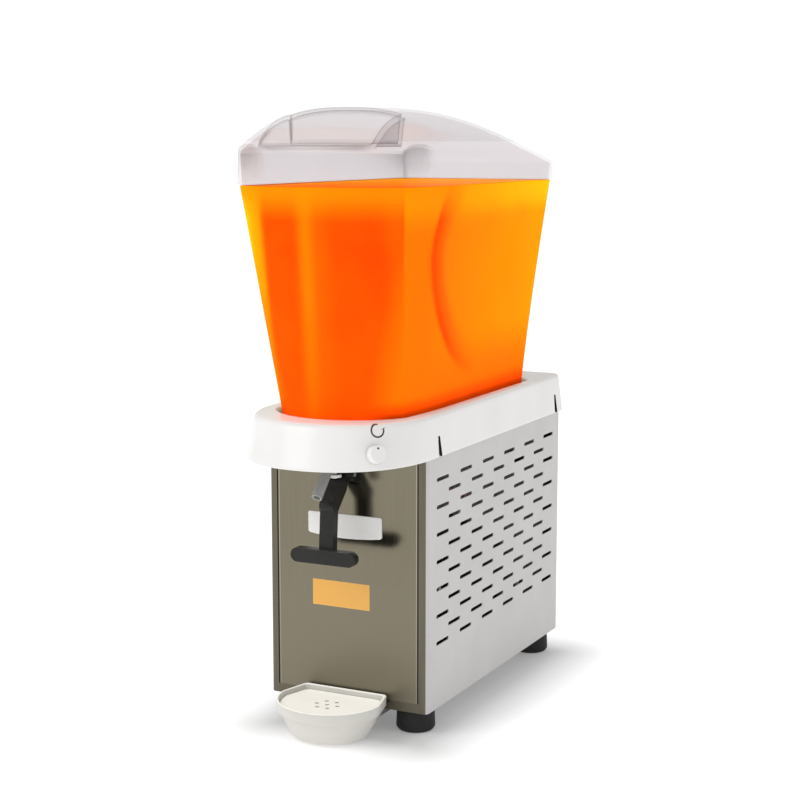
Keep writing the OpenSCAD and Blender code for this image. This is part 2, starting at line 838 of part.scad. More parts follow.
// Half section of a round pot with a rounded upper edge
module pot_2d(r, h, edge) {
    square([r, h - edge]);
    square([r - edge, h]);
    translate([r - edge, h - edge]) circle(edge);
}

// Turned to look out of the cover at the knob
module at_knob() {
    translate(knob_at) rotate([0, acos(knob_way[2]), atan2(knob_way[1], knob_way[0])]) children();
}

module base_pan() color([0.78, 0.77, 0.75]) place() difference() {
    translate([0, 0, foot_h]) linear_extrude(pan_rim_h) round_rect(body_w, body_d, bend_r);
    translate([0, 0, pan_floor]) linear_extrude(pan_rim_h)
        round_rect(body_w - 2 * sheet_t, body_d - 2 * sheet_t, bend_r - sheet_t);
    four() translate([foot_x, foot_y, foot_h - over])
        cylinder(r = bolt_r + loose, h = sheet_t + 2 * over);
}

module frame_posts() color([0.62, 0.62, 0.62]) place() difference() {
    four() translate([side_x - sheet_t, rear_y - sheet_t, pan_floor]) rotate(180)
        linear_extrude(deck_z - pan_floor) polygon([
            [bend_r, 0], [post_leg, 0], [post_leg, post_t], [bend_r, post_t],
            [post_t, bend_r], [post_t, post_leg], [0, post_leg], [0, bend_r]]);
    screw_holes();
}

module feet() color([0.06, 0.06, 0.06]) place() four() translate([foot_x, foot_y, 0]) difference() {
    rotate_extrude() polygon([
        [0, 0], [foot_r - foot_chamfer[0], 0], [foot_r, foot_chamfer[1]],
        [foot_r - foot_taper, foot_h], [0, foot_h]]);
    translate([0, 0, -over]) cylinder(r = bolt_head_r + bolt_room, h = bolt_head_z + bolt_head_t + over);
    cylinder(r = bolt_r + loose, h = foot_h + over);
}

module foot_bolts() color([0.7, 0.7, 0.72]) place() four()
    translate([foot_x, foot_y, bolt_head_z]) {
        cylinder(r = bolt_head_r, h = bolt_head_t);
        cylinder(r = bolt_r, h = bolt_top - bolt_head_z);
    }

module foot_nuts() color([0.7, 0.7, 0.72]) place() four()
    translate([foot_x, foot_y, pan_floor]) difference() {
        cylinder(r = nut_r, h = nut_h, $fn = 6);
        translate([0, 0, -over]) cylinder(r = bolt_r + run_fit, h = nut_h + 2 * over);
    }

module front_panel() color([0.6, 0.57, 0.5]) place()
    translate([flange_w + groove_w - side_x, front_y, panel_z])
        cube([body_w - 2 * flange_w - 2 * groove_w, sheet_t, deck_z - panel_z]);

// Slotted side sheet with a rounded bend and a flange at each end
module side_panel() {
    flat_l = body_d - 2 * bend_r;
    translate([side_x - sheet_t, 0, 0]) rotate([90, 0, 90]) linear_extrude(sheet_t) difference() {
        translate([-flat_l / 2, panel_z]) square([flat_l, deck_z - panel_z]);
        for (row = [0:slot_rows - 1]) {
            count = slot_cols - row % 2;
            for (i = [0:count - 1])
                translate([(i - (count - 1) / 2) * slot_step, deck_z - slot_drop - row * row_step])
                    slot_2d(slot_l, slot_h);
        }
        for (y = [-slit_y, slit_y])
            translate([y - catch_w / 2, skirt_z]) square([catch_w, catch_h]);
    }
    for (m = [0, 1]) mirror([0, m, 0]) {
        translate([side_x - bend_r, rear_y - bend_r, panel_z]) linear_extrude(deck_z - panel_z)
            intersection() {
                difference() {
                    circle(bend_r);
                    circle(bend_r - sheet_t);
                }
                square(bend_r);
            }
        translate([side_x - flange_w, rear_y - sheet_t, panel_z])
            cube([flange_w - bend_r, sheet_t, deck_z - panel_z]);
    }
}

module right_panel() color([0.8, 0.79, 0.78]) place() side_panel();

module left_panel() color([0.8, 0.79, 0.78]) place() mirror([1, 0, 0]) side_panel();

module screw_holes() {
    both() for (z = screw_z) translate([screw_x, 0, z])
        rod_y(screw_r + loose, rear_y - sheet_t - post_t - over, rear_y + over);
}

module rear_panel() color([0.72, 0.72, 0.71]) place() difference() {
    translate([0, rear_y, 0]) rotate([90, 0, 0]) linear_extrude(sheet_t) difference() {
        translate([-rear_half, panel_z]) square([2 * rear_half, deck_z - panel_z]);
        for (row = [0:rear_slot_rows - 1])
            translate([rear_slot_x, rear_slot_z + row * row_step]) slot_2d(rear_slot_l, slot_h);
        translate([switch_x, switch_z]) square([switch_w, switch_h], center = true);
        translate([inlet_x, inlet_z]) circle(inlet_r - inlet_lip);
    }
    screw_holes();
}

module rear_screws() color([0.75, 0.75, 0.77]) place() both()
    for (z = screw_z) translate([screw_x, 0, z]) {
        rod_y(screw_head_r, rear_y, rear_y + screw_head_t);
        rod_y(screw_r, rear_y - sheet_t - post_t - screw_tail, rear_y);
    }

// Holes that the coil's two tails pass down through
module line_holes(z, h) {
    for (p = [[coil_mid_r, -coil_tail], [coil_tail_in, coil_tail]])
        translate([p[0], dome_y + p[1], z - over]) cylinder(r = line_hole_r, h = h + 2 * over);
}

module roof_deck() color([0.7, 0.7, 0.7]) place() difference() {
    translate([0, 0, deck_z]) linear_extrude(deck_t) round_rect(body_w, body_d, bend_r);
    translate([0, dome_y, deck_z - over]) cylinder(r = motor_hole_r, h = deck_t + 2 * over);
    line_holes(deck_z, deck_t);
}

module insulation_pad() color([0.86, 0.82, 0.68]) place() difference() {
    inset = sheet_t + post_leg;
    cut_h = pad_t + 2 * over;
    translate([inset - side_x, front_y + sheet_t + loose, deck_z - pad_t])
        cube([body_w - 2 * inset, body_d - 2 * sheet_t - 2 * loose, pad_t]);
    translate([0, dome_y, deck_z - pad_t - over]) cylinder(r = motor_flange_r + pad_room, h = cut_h);
    line_holes(deck_z - pad_t, pad_t);
    both() for (y = [front_y, rear_y])
        translate([side_x - inset - 2 * pad_room, y - pad_notch, deck_z - pad_t - over])
            cube([pad_notch, 2 * pad_notch, cut_h]);
}

// Outline of the bowl's foot grown by a margin
module foot_2d(margin) {
    polygon(bowl_outline(well_depth / bowl_h, -margin));
}

module top_cover() color([0.93, 0.92, 0.9]) place() difference() {
    inner_top = cover_top - cover_t;
    skin([cover_ring(skirt_z, 0, skirt_z), cover_ring(lean_z, 0, lean_z),
            cover_ring(lean_z + cover_edge_mid[1], cover_edge_mid[0], lean_z + cover_edge_mid[1]),
            cover_ring(lean_z + cover_edge, cover_edge, cover_top)],
        [0, dome_y, skirt_z], [0, dome_y, cover_top]);
    difference() {
        skin([cover_ring(skirt_z, cover_t, skirt_z - over),
                at_z(cover_outline(side_x + cover_room, cover_reach(deck_top) - cover_t,
                    rear_y + cover_room, cover_corner_r - cover_t), deck_top),
                cover_ring(lean_z, cover_t, inner_top)],
            [0, dome_y, skirt_z - over], [0, dome_y, inner_top]);
        translate([0, 0, deck_top]) linear_extrude(well_depth + well_floor_t)
            foot_2d(well_gap + cover_t);
    }
    translate([0, 0, seat_z]) linear_extrude(well_depth + over) foot_2d(well_gap);
    translate([0, 0, deck_top - over]) {
        translate([0, dome_y, 0]) cylinder(r = dome_hole_r, h = well_floor_t + 2 * over);
        translate([0, tap_y, 0]) cylinder(r = neck_r + loose, h = well_floor_t + 2 * over);
    }
    both() across(side_x - over, side_x + cover_proud + 3 * over) for (y = [-slit_y, slit_y])
        translate([y, skirt_z]) polygon([[-slit_w / 2, -over], [slit_w / 2, -over],
            [slit_top_w / 2, slit_h], [-slit_top_w / 2, slit_h]]);
    at_knob() translate([0, 0, -3 * cover_t]) cylinder(r = bushing_r + loose, h = 5 * cover_t);
}

module thermostat() color([0.2, 0.2, 0.22]) place() at_knob() difference() {
    union() {
        translate([0, 0, -thermostat_in]) cylinder(r = thermostat_r, h = thermostat_l);
        translate([0, 0, -bushing_in]) cylinder(r = bushing_r, h = bushing_in + bushing_out);
    }
    translate([0, 0, -spindle_bore]) cylinder(r = spindle_r + run_fit, h = spindle_bore + over);
}

module control_knob() color([0.9, 0.89, 0.87]) place() at_knob() difference() {
    union() {
        translate([0, 0, knob_gap]) cylinder(r1 = knob_r, r2 = knob_r - knob_taper, h = knob_l);
        translate([0, 0, -spindle_in]) cylinder(r = spindle_r, h = spindle_in + knob_gap + over);
    }
    translate([-knob_r * dot_share, 0, knob_gap + knob_l - dot_deep])
        cylinder(r = dot_r, h = dot_deep + over, $fn = 24);
}

module evaporator() color([0.75, 0.76, 0.77]) place()
    translate([0, dome_y, deck_top]) rotate_extrude() difference() {
        pot_2d(dome_r, dome_h, dome_edge_r);
        translate([0, -over])
            pot_2d(dome_r - dome_t, dome_h - dome_t + over, dome_edge_r - dome_t);
    }

// Coil inside the dome, with one tail from its lower end and one from its upper end
module evaporator_coil() color([0.72, 0.42, 0.24]) place() translate([0, dome_y, 0])
    tube(concat(
        coil_lower_tail,
        [for (i = [0:coil_turns * coil_steps]) let (a = 360 * i / coil_steps)
            [coil_mid_r * cos(a), coil_mid_r * sin(a), coil_z + coil_pitch * i / coil_steps]],
        coil_upper_tail), coil_r, 8);

module dome_gasket() color([0.55, 0.55, 0.55]) place() translate([0, dome_y, deck_top]) difference() {
    cylinder(r = dome_hole_r - loose, h = well_floor_t + bowl_t);
    translate([0, 0, -over]) cylinder(r = dome_r + gasket_fit, h = well_floor_t + bowl_t + 2 * over);
}

module stirrer_pin() color([0.8, 0.8, 0.82]) place()
    translate([0, dome_y, dome_top]) cylinder(r = shaft_r, h = stirrer_pin_h);

module stirrer() color([0.92, 0.92, 0.9]) place()
    translate([0, dome_y, dome_top + stirrer_gap]) difference() {
        union() {
            cylinder(r = stirrer_hub_r, h = stirrer_hub_h);
            for (k = [0:stirrer_blades - 1]) rotate(360 * k / stirrer_blades)
                translate([stirrer_blade[0], -stirrer_blade[1] / 2, stirrer_blade_z])
                    cube([stirrer_r - stirrer_blade[0], stirrer_blade[1], stirrer_blade[2]]);
        }
        translate([0, 0, -over]) cylinder(r = shaft_r + run_fit, h = stirrer_hub_h + 2 * over);
    }

module stirrer_motor() color([0.3, 0.3, 0.32]) place()
    translate([0, dome_y, deck_z - motor_h - motor_flange_t]) difference() {
        union() {
            cylinder(r = motor_r, h = motor_h);
            translate([0, 0, motor_h]) cylinder(r = motor_flange_r, h = motor_flange_t);
        }
        translate([0, 0, motor_bore_z]) cylinder(r = shaft_r + run_fit, h = motor_h);
    }

module drive_rotor() color([0.35, 0.35, 0.36]) place() translate([0, dome_y, 0]) {
    translate([0, 0, deck_z - shaft_in]) cylinder(r = shaft_r, h = rotor_z - deck_z + shaft_in + over);
    translate([0, 0, rotor_z]) cylinder(r = rotor_r, h = rotor_t);
}

module drive_magnets() color([0.5, 0.5, 0.52]) place() translate([0, dome_y, rotor_z + rotor_t])
    for (k = [0:stirrer_blades - 1]) rotate(360 * k / stirrer_blades)
        translate([rotor_r * magnet_share, 0, 0]) cylinder(r = magnet_r, h = magnet_t);

// Straight run of the spout, from inside the valve's bore to its tip
module spout_rod(r, extra) {
    translate([0, spout_start[0], spout_start[1]]) rotate([-spout_tilt, 0, 0])
        translate([0, 0, -spout_run - extra]) cylinder(r = r, h = spout_run + 2 * extra);
}

module valve_body() color([0.12, 0.12, 0.12]) place() difference() {
    translate([0, tap_y, 0]) {
        translate([0, 0, valve_z]) cylinder(r = valve_r, h = deck_top - valve_z);
        translate([0, 0, deck_top - valve_flange_t]) cylinder(r = valve_flange_r, h = valve_flange_t);
        translate([0, 0, deck_top - over]) cylinder(r = neck_r, h = seat_z + bowl_t - deck_top + over);
    }
    translate([0, tap_y, 0]) {
        translate([0, 0, valve_z + valve_floor])
            cylinder(r = bore_r, h = web_z - valve_z - valve_floor);
        translate([0, 0, web_z + web_t]) cylinder(r = bore_r, h = neck_r);
        translate([0, 0, web_z - over]) cylinder(r = web_hole_r, h = neck_r);
        translate([0, 0, valve_z - over]) cylinder(r = plunger_r + run_fit, h = valve_floor + 2 * over);
        translate([0, 0, seal_groove_z]) difference() {
            cylinder(r = neck_r + over, h = seal_groove[1]);
            translate([0, 0, -over]) cylinder(r = neck_r - seal_groove[0], h = seal_groove[1] + 2 * over);
        }
    }
    spout_rod(spout_r + push_fit, 0);
}

module outlet_spout() color([0.6, 0.6, 0.6]) place() difference() {
    spout_rod(spout_r, 0);
    spout_rod(spout_r - spout_t, over);
    translate([0, tap_y, valve_z + valve_floor]) cylinder(r = bore_r + push_fit, h = valve_drop);
}

module plunger() color([0.85, 0.85, 0.85]) place() translate([0, tap_y, 0]) {
    translate([0, 0, head_z]) cylinder(r = head_r, h = head_h);
    translate([0, 0, collar_z - plunger_tip])
        cylinder(r = plunger_r, h = head_z + over - collar_z + plunger_tip);
    translate([0, 0, collar_z]) cylinder(r = collar_r, h = collar_t);
}

module plunger_seal() color([0.15, 0.15, 0.15]) place() translate([0, tap_y, head_z + head_h])
    cylinder(r = head_r, h = seal_t);

// Coil spring that holds the plunger's head against its seat
module valve_spring() color([0.75, 0.75, 0.77]) place() translate([0, tap_y, 0]) {
    z0 = valve_z + valve_floor + spring_wire_r + spring_seat;
    z1 = head_z - spring_wire_r - spring_seat;
    r = (plunger_r + bore_r) / 2 - spring_in;
    last = spring_turns * spring_steps;
    echo(spring_gap_closed = (z1 - z0 - plunger_stroke) / spring_turns - 2 * spring_wire_r);
    tube([for (i = [0:last]) let (a = 360 * i / spring_steps)
        [r * cos(a), r * sin(a), mix(z0, z1, i / last)]], spring_wire_r, 6);
}

module neck_seal() color([0.15, 0.15, 0.15]) place()
    translate([0, tap_y, seal_groove_z + seal_gap]) difference() {
        h = seal_groove[1] - 2 * seal_gap;
        cylinder(r = neck_r + seal_out, h = h);
        translate([0, 0, -over]) cylinder(r = neck_r - seal_groove[0] + seal_gap, h = h + 2 * over);
    }

module lever_bracket() color([0.1, 0.1, 0.1]) place() difference() {
    half = ear_in + ear_t + bracket_side;
    root_y = front_y - bracket_t - ear_root;
    union() {
        translate([-half, front_y - bracket_t, pin_z - bracket_down])
            cube([2 * half, bracket_t, bracket_down + bracket_up]);
        both() across(ear_in, ear_in + ear_t) {
            bar([pin_y, pin_z], [root_y, pin_z], ear_h);
            translate([root_y - over, pin_z - ear_h / 2]) square([ear_root + 2 * over, ear_h]);
        }
    }
    translate([0, pin_y, pin_z])
        rod_x(pin_r + run_fit, -ear_in - ear_t - over, ear_in + ear_t + over);
    translate([-side_x, front_y, pin_z - ear_h]) cube([body_w, ear_h, 2 * ear_h]);
}

module lever_pin() color([0.78, 0.78, 0.8]) place() translate([0, pin_y, pin_z])
    rod_x(pin_r, -ear_in - ear_t - pin_end, ear_in + ear_t + pin_end);

module tap_lever() color([0.05, 0.05, 0.05]) place() difference() {
    union() {
        translate([0, pin_y, pin_z]) rod_x(hub_r, -hub_half, hub_half);
        across(-stem_w / 2, stem_w / 2) {
            bar([pin_y, pin_z], swell, stem_t);
            bar(swell, knee, stem_knee_t);
            bar(knee, [handle[0] + stem_back, handle[1]], stem_tip_t);
        }
        both() across(tine_in, tine_out)
            bar([pin_y - tine_root[0], pin_z + tine_root[1]], [tap_y, pin_z + tine_rise], 2 * tine_r);
        translate([0, handle[0] + handle_t / 2, handle[1]]) rotate([90, 0, 0])
            linear_extrude(handle_t) slot_2d(handle_l, handle_h);
    }
    translate([0, pin_y, pin_z]) rod_x(pin_r + run_fit, -hub_half - over, hub_half + over);
}

module drip_tray() color([0.93, 0.91, 0.84]) place() {
    skin(concat(
            [for (p = tray_outer) tray_ring(p[0], p[1], tray_back_y)],
            [for (p = tray_inner) tray_ring(p[0], tray_t + p[1], tray_back_y - tray_t - p[2])]),
        [0, tray_mid_y, tray_foot_z], [0, tray_mid_y, tray_floor_z + tray_rise * tray_floor_share]);
    both() translate([tongue_x, tray_back_y - tray_t / 2, tongue_z])
        cube([tongue_w, tongue_l, tongue_t]);
}

module drip_plate() color([0.93, 0.91, 0.86]) place() translate([0, 0, plate_z])
    linear_extrude(plate_t) difference() {
        polygon(tray_outline(tray_t + plate_in, tray_back_y - tray_t - plate_in));
        translate([-tray_half_w, tray_front_y])
            square([2 * tray_half_w, plate_front_y - tray_front_y]);
        translate([0, drain_y]) {
            circle(drain_r);
            for (i = [0:drain_count - 1]) rotate(i * 360 / drain_count)
                translate([drain_ring_r, 0]) circle(drain_r);
        }
    }

module tray_guides() color([0.5, 0.5, 0.5]) place() both() difference() {
    translate([tongue_x - guide_wall, front_y + guide_start, tongue_z - guide_wall])
        cube([tongue_w + 2 * guide_wall, guide_l, foot_h - tongue_z + guide_wall]);
    translate([tongue_x - slide_gap, front_y, tongue_z - slide_gap])
        cube([tongue_w + 2 * slide_gap, guide_l + 2 * guide_start, tongue_t + 2 * slide_gap]);
}

module bowl() color([0.95, 0.75, 0.45, 0.4]) place() difference() {
    skin(concat(
            [bowl_ring(0, foot_round)], [for (t = bowl_rows) bowl_ring(t, 0)],
            [for (i = [len(bowl_rows) - 1:-1:1]) bowl_ring(bowl_rows[i], bowl_t)],
            [bowl_ring(floor_rise, bowl_t + floor_round[0]),
             bowl_ring(bowl_t / bowl_h, bowl_t + floor_round[1])]),
        [0, dome_y, seat_z], [0, dome_y, seat_z + bowl_t]);
    translate([0, 0, seat_z - over]) {
        translate([0, dome_y, 0]) cylinder(r = dome_hole_r, h = bowl_t + 2 * over);
        translate([0, tap_y, 0]) cylinder(r = neck_r + neck_room, h = bowl_t + 2 * over);
    }
}

// Outer form of the lid as a solid
module lid_form() {
    skin(concat([at_z(bowl_outline(1, 0), rim_z)], [for (s = lid_rows) lid_ring(s, lid_lean, 0)]),
        [0, lid_mid_y, rim_z], [0, lid_mid_y, rim_z + lid_h]);
}

module lid() color([0.85, 0.85, 0.9, 0.4]) place() difference() {
    inner = bowl_t + lid_fit;
    ledge_z = rim_z + lid_t;
    grip_d = front_y - grip_back - rim_front + grip_over;
    union() {
        skin(concat(
                [for (i = [len(lid_rows) - 1:-1:0]) lid_ring(lid_rows[i], lid_lean + lid_t, lid_t)],
                [at_z(bowl_outline(1, lid_t), ledge_z), at_z(bowl_outline(1, inner + lid_t), ledge_z),
                 at_z(bowl_outline(1, inner + lid_t), rim_z - lid_skirt),
                 at_z(bowl_outline(1, inner + lid_skirt_taper), rim_z - lid_skirt),
                 at_z(bowl_outline(1, inner), rim_z), at_z(bowl_outline(1, 0), rim_z)],
                [for (s = lid_rows) lid_ring(s, lid_lean, 0)]),
            [0, lid_mid_y, rim_z + lid_h - lid_t], [0, lid_mid_y, rim_z + lid_h]);
        intersection() {
            lid_form();
            translate([-grip_half_w - lid_t, rim_front - grip_over, grip_floor_z - lid_t])
                cube([2 * (grip_half_w + lid_t), grip_d + lid_t, lid_h]);
        }
    }
    translate([-grip_half_w, rim_front - grip_over, grip_floor_z])
        cube([2 * grip_half_w, grip_d, lid_h]);
}

module compressor() color([0.1, 0.1, 0.11]) place() translate([0, compressor_y, compressor_z]) {
    difference() {
        translate([-compressor_plate[0], -compressor_plate[1], 0])
            cube([2 * compressor_plate[0], 2 * compressor_plate[1], compressor_plate_t]);
        mount_spots() translate([0, 0, -over])
            cylinder(r = compressor_hole_r, h = compressor_plate_t + 2 * over);
    }
    translate([0, 0, compressor_plate_t]) rotate_extrude()
        pot_2d(compressor_r, compressor_h, compressor_r * compressor_round);
    for (s = [-1, 1]) translate([s * port_x, -s * port_y, compressor_plate_t + compressor_h - over])
        cylinder(r = port_r, h = port_h + over);
}

// The four corners of the compressor's plate
module mount_spots() {
    four() translate([compressor_plate[0] - compressor_hole_in, compressor_plate[1] - compressor_hole_in, 0])
        children();
}

module compressor_mounts() color([0.08, 0.08, 0.08]) place()
    translate([0, compressor_y, pan_floor]) mount_spots() {
        cylinder(r = mount_r, h = mount_h);
        cylinder(r = mount_stud_r, h = mount_h + compressor_plate_t + mount_stud_h);
    }

module condenser() color([0.7, 0.71, 0.72]) place() translate([0, condenser_y, 0]) {
    for (i = [0:fin_count - 1])
        translate([i * fin_step - fin_half - fin_t / 2, -condenser_d / 2, condenser_z])
            cube([fin_t, condenser_d, condenser_h]);
    both() translate([fin_half + fin_step / 2, -condenser_d / 2, pan_floor])
        cube([end_plate_t, condenser_d, condenser_top - pan_floor]);
    for (i = [0:tube_count - 1]) translate([0, 0, condenser_z + (i + 0.5) * tube_step])
        rod_x(tube_r, -tube_half, tube_half);
    for (i = [0:tube_count - 2]) mirror([i % 2, 0, 0])
        translate([tube_half, 0, condenser_z + (i + 1) * tube_step]) rotate([90, 0, 0]) rotate(-90)
            rotate_extrude(angle = 180) translate([tube_step / 2, 0]) circle(tube_r);
    both() translate([condenser_port_x, 0, condenser_top - tube_step / 2])
        cylinder(r = port_r, h = tube_step / 2 + port_h);
}

module fan_shroud() color([0.25, 0.25, 0.26]) place() difference() {
    translate([-shroud_half, shroud_y, pan_floor])
        cube([2 * shroud_half, shroud_t, fan_z + shroud_half - pan_floor]);
    translate([0, 0, fan_z]) rod_y(shroud_hole_r, shroud_y - over, shroud_y + shroud_t + over);
}

module fan_motor() color([0.2, 0.2, 0.2]) place() translate([0, 0, fan_z]) difference() {
    rod_y(fan_motor_r, fan_motor_y, fan_motor_y + fan_motor_l);
    rod_y(fan_shaft_r + run_fit, fan_motor_y - over, fan_motor_y + fan_bore_l);
}

module motor_stand() color([0.6, 0.6, 0.6]) place() difference() {
    translate([-stand_half, fan_motor_y + stand_back, pan_floor])
        cube([2 * stand_half, stand_t, fan_z + stand_half - pan_floor]);
    translate([0, 0, fan_z]) rod_y(fan_motor_r + push_fit, fan_motor_y, fan_motor_y + fan_motor_l);
}

module fan() color([0.15, 0.15, 0.15]) place() translate([0, 0, fan_z]) {
    rod_y(fan_hub_r, fan_y, fan_y + fan_hub_l);
    rod_y(fan_shaft_r, fan_y + fan_hub_l - over, fan_motor_y + fan_shaft_in);
    for (k = [0:fan_blades - 1]) translate([0, fan_y + fan_hub_l / 2, 0])
        rotate([0, 360 * k / fan_blades, 0]) rotate([0, 0, fan_pitch])
            translate([-fan_blade[0] / 2, -fan_blade[1] / 2, fan_hub_r - fan_blade_root])
                cube([fan_blade[0], fan_blade[1], fan_r - fan_hub_r]);
}

module filter_drier() color([0.74, 0.45, 0.27]) place()
    translate([drier_x, drier_y, line_z]) rotate([-90, 0, 0]) rotate_extrude() polygon([
        [0, 0], [drier_neck_r, 0], [drier_r, drier_cone], [drier_r, drier_l - drier_cone],
        [drier_neck_r, drier_l], [0, drier_l]]);

// Refrigerant lines, each meeting its ports face to face
module discharge_line() color([0.74, 0.45, 0.27]) place() tube(discharge_path, line_r, 10);

module condenser_line() color([0.74, 0.45, 0.27]) place() tube(condenser_path, line_r, 10);

module capillary_line() color([0.74, 0.45, 0.27]) place() tube(capillary_path, fine_line_r, 8);

module suction_line() color([0.74, 0.45, 0.27]) place() tube(suction_path, line_r, 10);

module wiring_box() color([0.82, 0.82, 0.8]) place()
    translate([inlet_x - box_w / 2 + box_shift, rear_y - sheet_t - box_d, inlet_z + box_rise])
        cube([box_w, box_d, box_h]);

module switch_housing() color([0.08, 0.08, 0.08]) place()
    translate([switch_x, rear_y, switch_z]) difference() {
        union() {
            translate([-switch_w / 2 - switch_lip, 0, -switch_h / 2 - switch_lip])
                cube([switch_w + 2 * switch_lip, switch_lip, switch_h + 2 * switch_lip]);
            translate([loose - switch_w / 2, -switch_d, loose - switch_h / 2])
                cube([switch_w - 2 * loose, switch_d + over, switch_h - 2 * loose]);
        }
        translate([-rocker_w / 2 - rocker_room[0], -rocker_room[1], -rocker_h / 2 - rocker_room[2]])
            cube([rocker_w + 2 * rocker_room[0], 2 * rocker_room[1], rocker_h + 2 * rocker_room[2]]);
        rod_x(trunnion_r + run_fit, -rocker_w / 2 - trunnion_l - trunnion_room,
            rocker_w / 2 + trunnion_l + trunnion_room);
    }

module switch_rocker() color([0.7, 0.12, 0.1]) place() translate([switch_x, rear_y, switch_z]) {
    rotate([rocker_tilt, 0, 0]) translate([-rocker_w / 2, -rocker_sunk, -rocker_h / 2])
        cube([rocker_w, rocker_t, rocker_h]);
    rod_x(trunnion_r, -rocker_w / 2 - trunnion_l, rocker_w / 2 + trunnion_l);
}

module cable_inlet() color([0.1, 0.1, 0.1]) place() translate([inlet_x, 0, inlet_z]) difference() {
    union() {
        rod_y(inlet_r, rear_y, rear_y + inlet_reach - inlet_lip);
        rod_y(inlet_r - inlet_boss, rear_y, rear_y + inlet_reach);
        rod_y(inlet_r - inlet_lip - loose, rear_y - inlet_in, rear_y + over);
    }
    rod_y(inlet_bore_r, rear_y - inlet_in - over, rear_y + inlet_reach + over);
}

base_pan();
frame_posts();
feet();
foot_bolts();
foot_nuts();
front_panel();
left_panel();
right_panel();
rear_panel();
rear_screws();
roof_deck();
insulation_pad();
top_cover();
thermostat();
control_knob();
evaporator();
evaporator_coil();
dome_gasket();
stirrer_pin();
stirrer();
stirrer_motor();
drive_rotor();
drive_magnets();
valve_body();
outlet_spout();
plunger();
plunger_seal();
valve_spring();
neck_seal();
lever_bracket();
lever_pin();
tap_lever();
drip_tray();
drip_plate();
tray_guides();
bowl();
lid();
compressor();
compressor_mounts();
condenser();
fan_shroud();
fan_motor();
motor_stand();
fan();
filter_drier();
discharge_line();
condenser_line();
capillary_line();
suction_line();
wiring_box();
switch_housing();
switch_rocker();
cable_inlet();
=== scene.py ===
# %% [markdown]
# # A chilled juice dispenser
# The CAD model already gives every piece its true size and place. This lesson keeps that model as
# a frame, swaps the moulded plastic shells for smoother meshes of the same form, adds the juice and
# the printed trim, and gives every surface a finish made from shader nodes.

import math

import bmesh
import bpy
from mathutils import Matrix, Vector
from mathutils.bvhtree import BVHTree


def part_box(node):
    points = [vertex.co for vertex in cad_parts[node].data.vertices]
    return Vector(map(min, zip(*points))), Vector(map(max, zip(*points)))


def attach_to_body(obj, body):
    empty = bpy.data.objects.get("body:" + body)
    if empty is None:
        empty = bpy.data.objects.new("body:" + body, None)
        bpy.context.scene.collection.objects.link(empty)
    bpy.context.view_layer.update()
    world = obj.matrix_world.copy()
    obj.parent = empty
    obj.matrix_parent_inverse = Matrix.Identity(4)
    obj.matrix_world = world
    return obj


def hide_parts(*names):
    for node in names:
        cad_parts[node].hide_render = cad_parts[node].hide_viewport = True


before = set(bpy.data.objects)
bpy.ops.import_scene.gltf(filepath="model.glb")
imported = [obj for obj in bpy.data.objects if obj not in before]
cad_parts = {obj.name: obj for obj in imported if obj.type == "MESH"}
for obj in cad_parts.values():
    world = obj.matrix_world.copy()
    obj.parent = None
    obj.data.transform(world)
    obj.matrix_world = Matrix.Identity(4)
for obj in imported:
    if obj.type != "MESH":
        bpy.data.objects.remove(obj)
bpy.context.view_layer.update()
scene = bpy.context.scene
print("pieces in the frame:", len(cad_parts))

# %% [markdown]
# ## Millimetres and the sizes of the cabinet
# Workshop drawings are in millimetres and Blender counts in metres, so every drawing value goes
# through one factor. The few sizes that the shells share are read from the boxes of the CAD pieces,
# and so a shell always lands where its piece is.

# %% Sizes shared by the shells
MM = 0.001


def edge(node, end, axis):
    """One face of a CAD piece's box, in millimetres: end 0 is the low one, 1 the high one."""
    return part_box(node)[end][axis] / MM


front_y = edge("front_panel", 0, 1)
rear_y = edge("rear_panel", 1, 1)
side_x = edge("right_panel", 1, 0)
deck_top = edge("roof_deck", 1, 2)
skirt_z, cover_top = edge("top_cover", 0, 2), edge("top_cover", 1, 2)
seat_z, rim_z = edge("bowl", 0, 2), edge("bowl", 1, 2)
dome_y = (edge("evaporator", 0, 1) + edge("evaporator", 1, 1)) / 2
tap_y = (edge("neck_seal", 0, 1) + edge("neck_seal", 1, 1)) / 2
print("cabinet depth", round(rear_y - front_y), "mm, bowl rim at", round(rim_z), "mm")

# %% [markdown]
# ## Camera
# The picture was taken from the right-hand front, a little above the lid, with a long lens that
# keeps the upright edges nearly parallel. A camera object is set to the same place and lens, and it
# comes first.

# %% Camera
CAMERA_AT = (0.9132, -1.8501, 0.6697)
CAMERA_DOWN, CAMERA_ROUND = 8.58, 26.38
LENS, SENSOR = 78.75, 36.0

lens = bpy.data.cameras.new("camera")
lens.lens, lens.sensor_width = LENS, SENSOR
lens.clip_start, lens.clip_end = 0.05, 100
camera = bpy.data.objects.new("camera", lens)
camera.location = CAMERA_AT
camera.rotation_euler = (math.radians(90 - CAMERA_DOWN), 0, math.radians(CAMERA_ROUND))
scene.collection.objects.link(camera)
scene.camera = camera
print("camera", [round(v, 3) for v in camera.location])

# %% [markdown]
# ## Shader groups
# Plastic, steel and rubber look real because they vary a little everywhere. Four effects come back
# in many finishes: a soft mottle, brushed lines, edge wear and settled dust. Each is built once as
# a node group that puts out a mask, and every material places it with values of its own. On the
# clear plastics the edge mask paints shade along the edges instead of wear.


# %% Helpers for node trees
def feed(tree, socket, value):
    """Links a socket to another one, or sets it to a plain value."""
    if isinstance(value, bpy.types.NodeSocket):
        tree.links.new(value, socket)
    else:
        socket.default_value = value


def fill(tree, node, **values):
    """Feeds inputs of a node by name, with a low line for each space."""
    for key, value in values.items():
        feed(tree, node.inputs[key.replace("_", " ")], value)
    return node


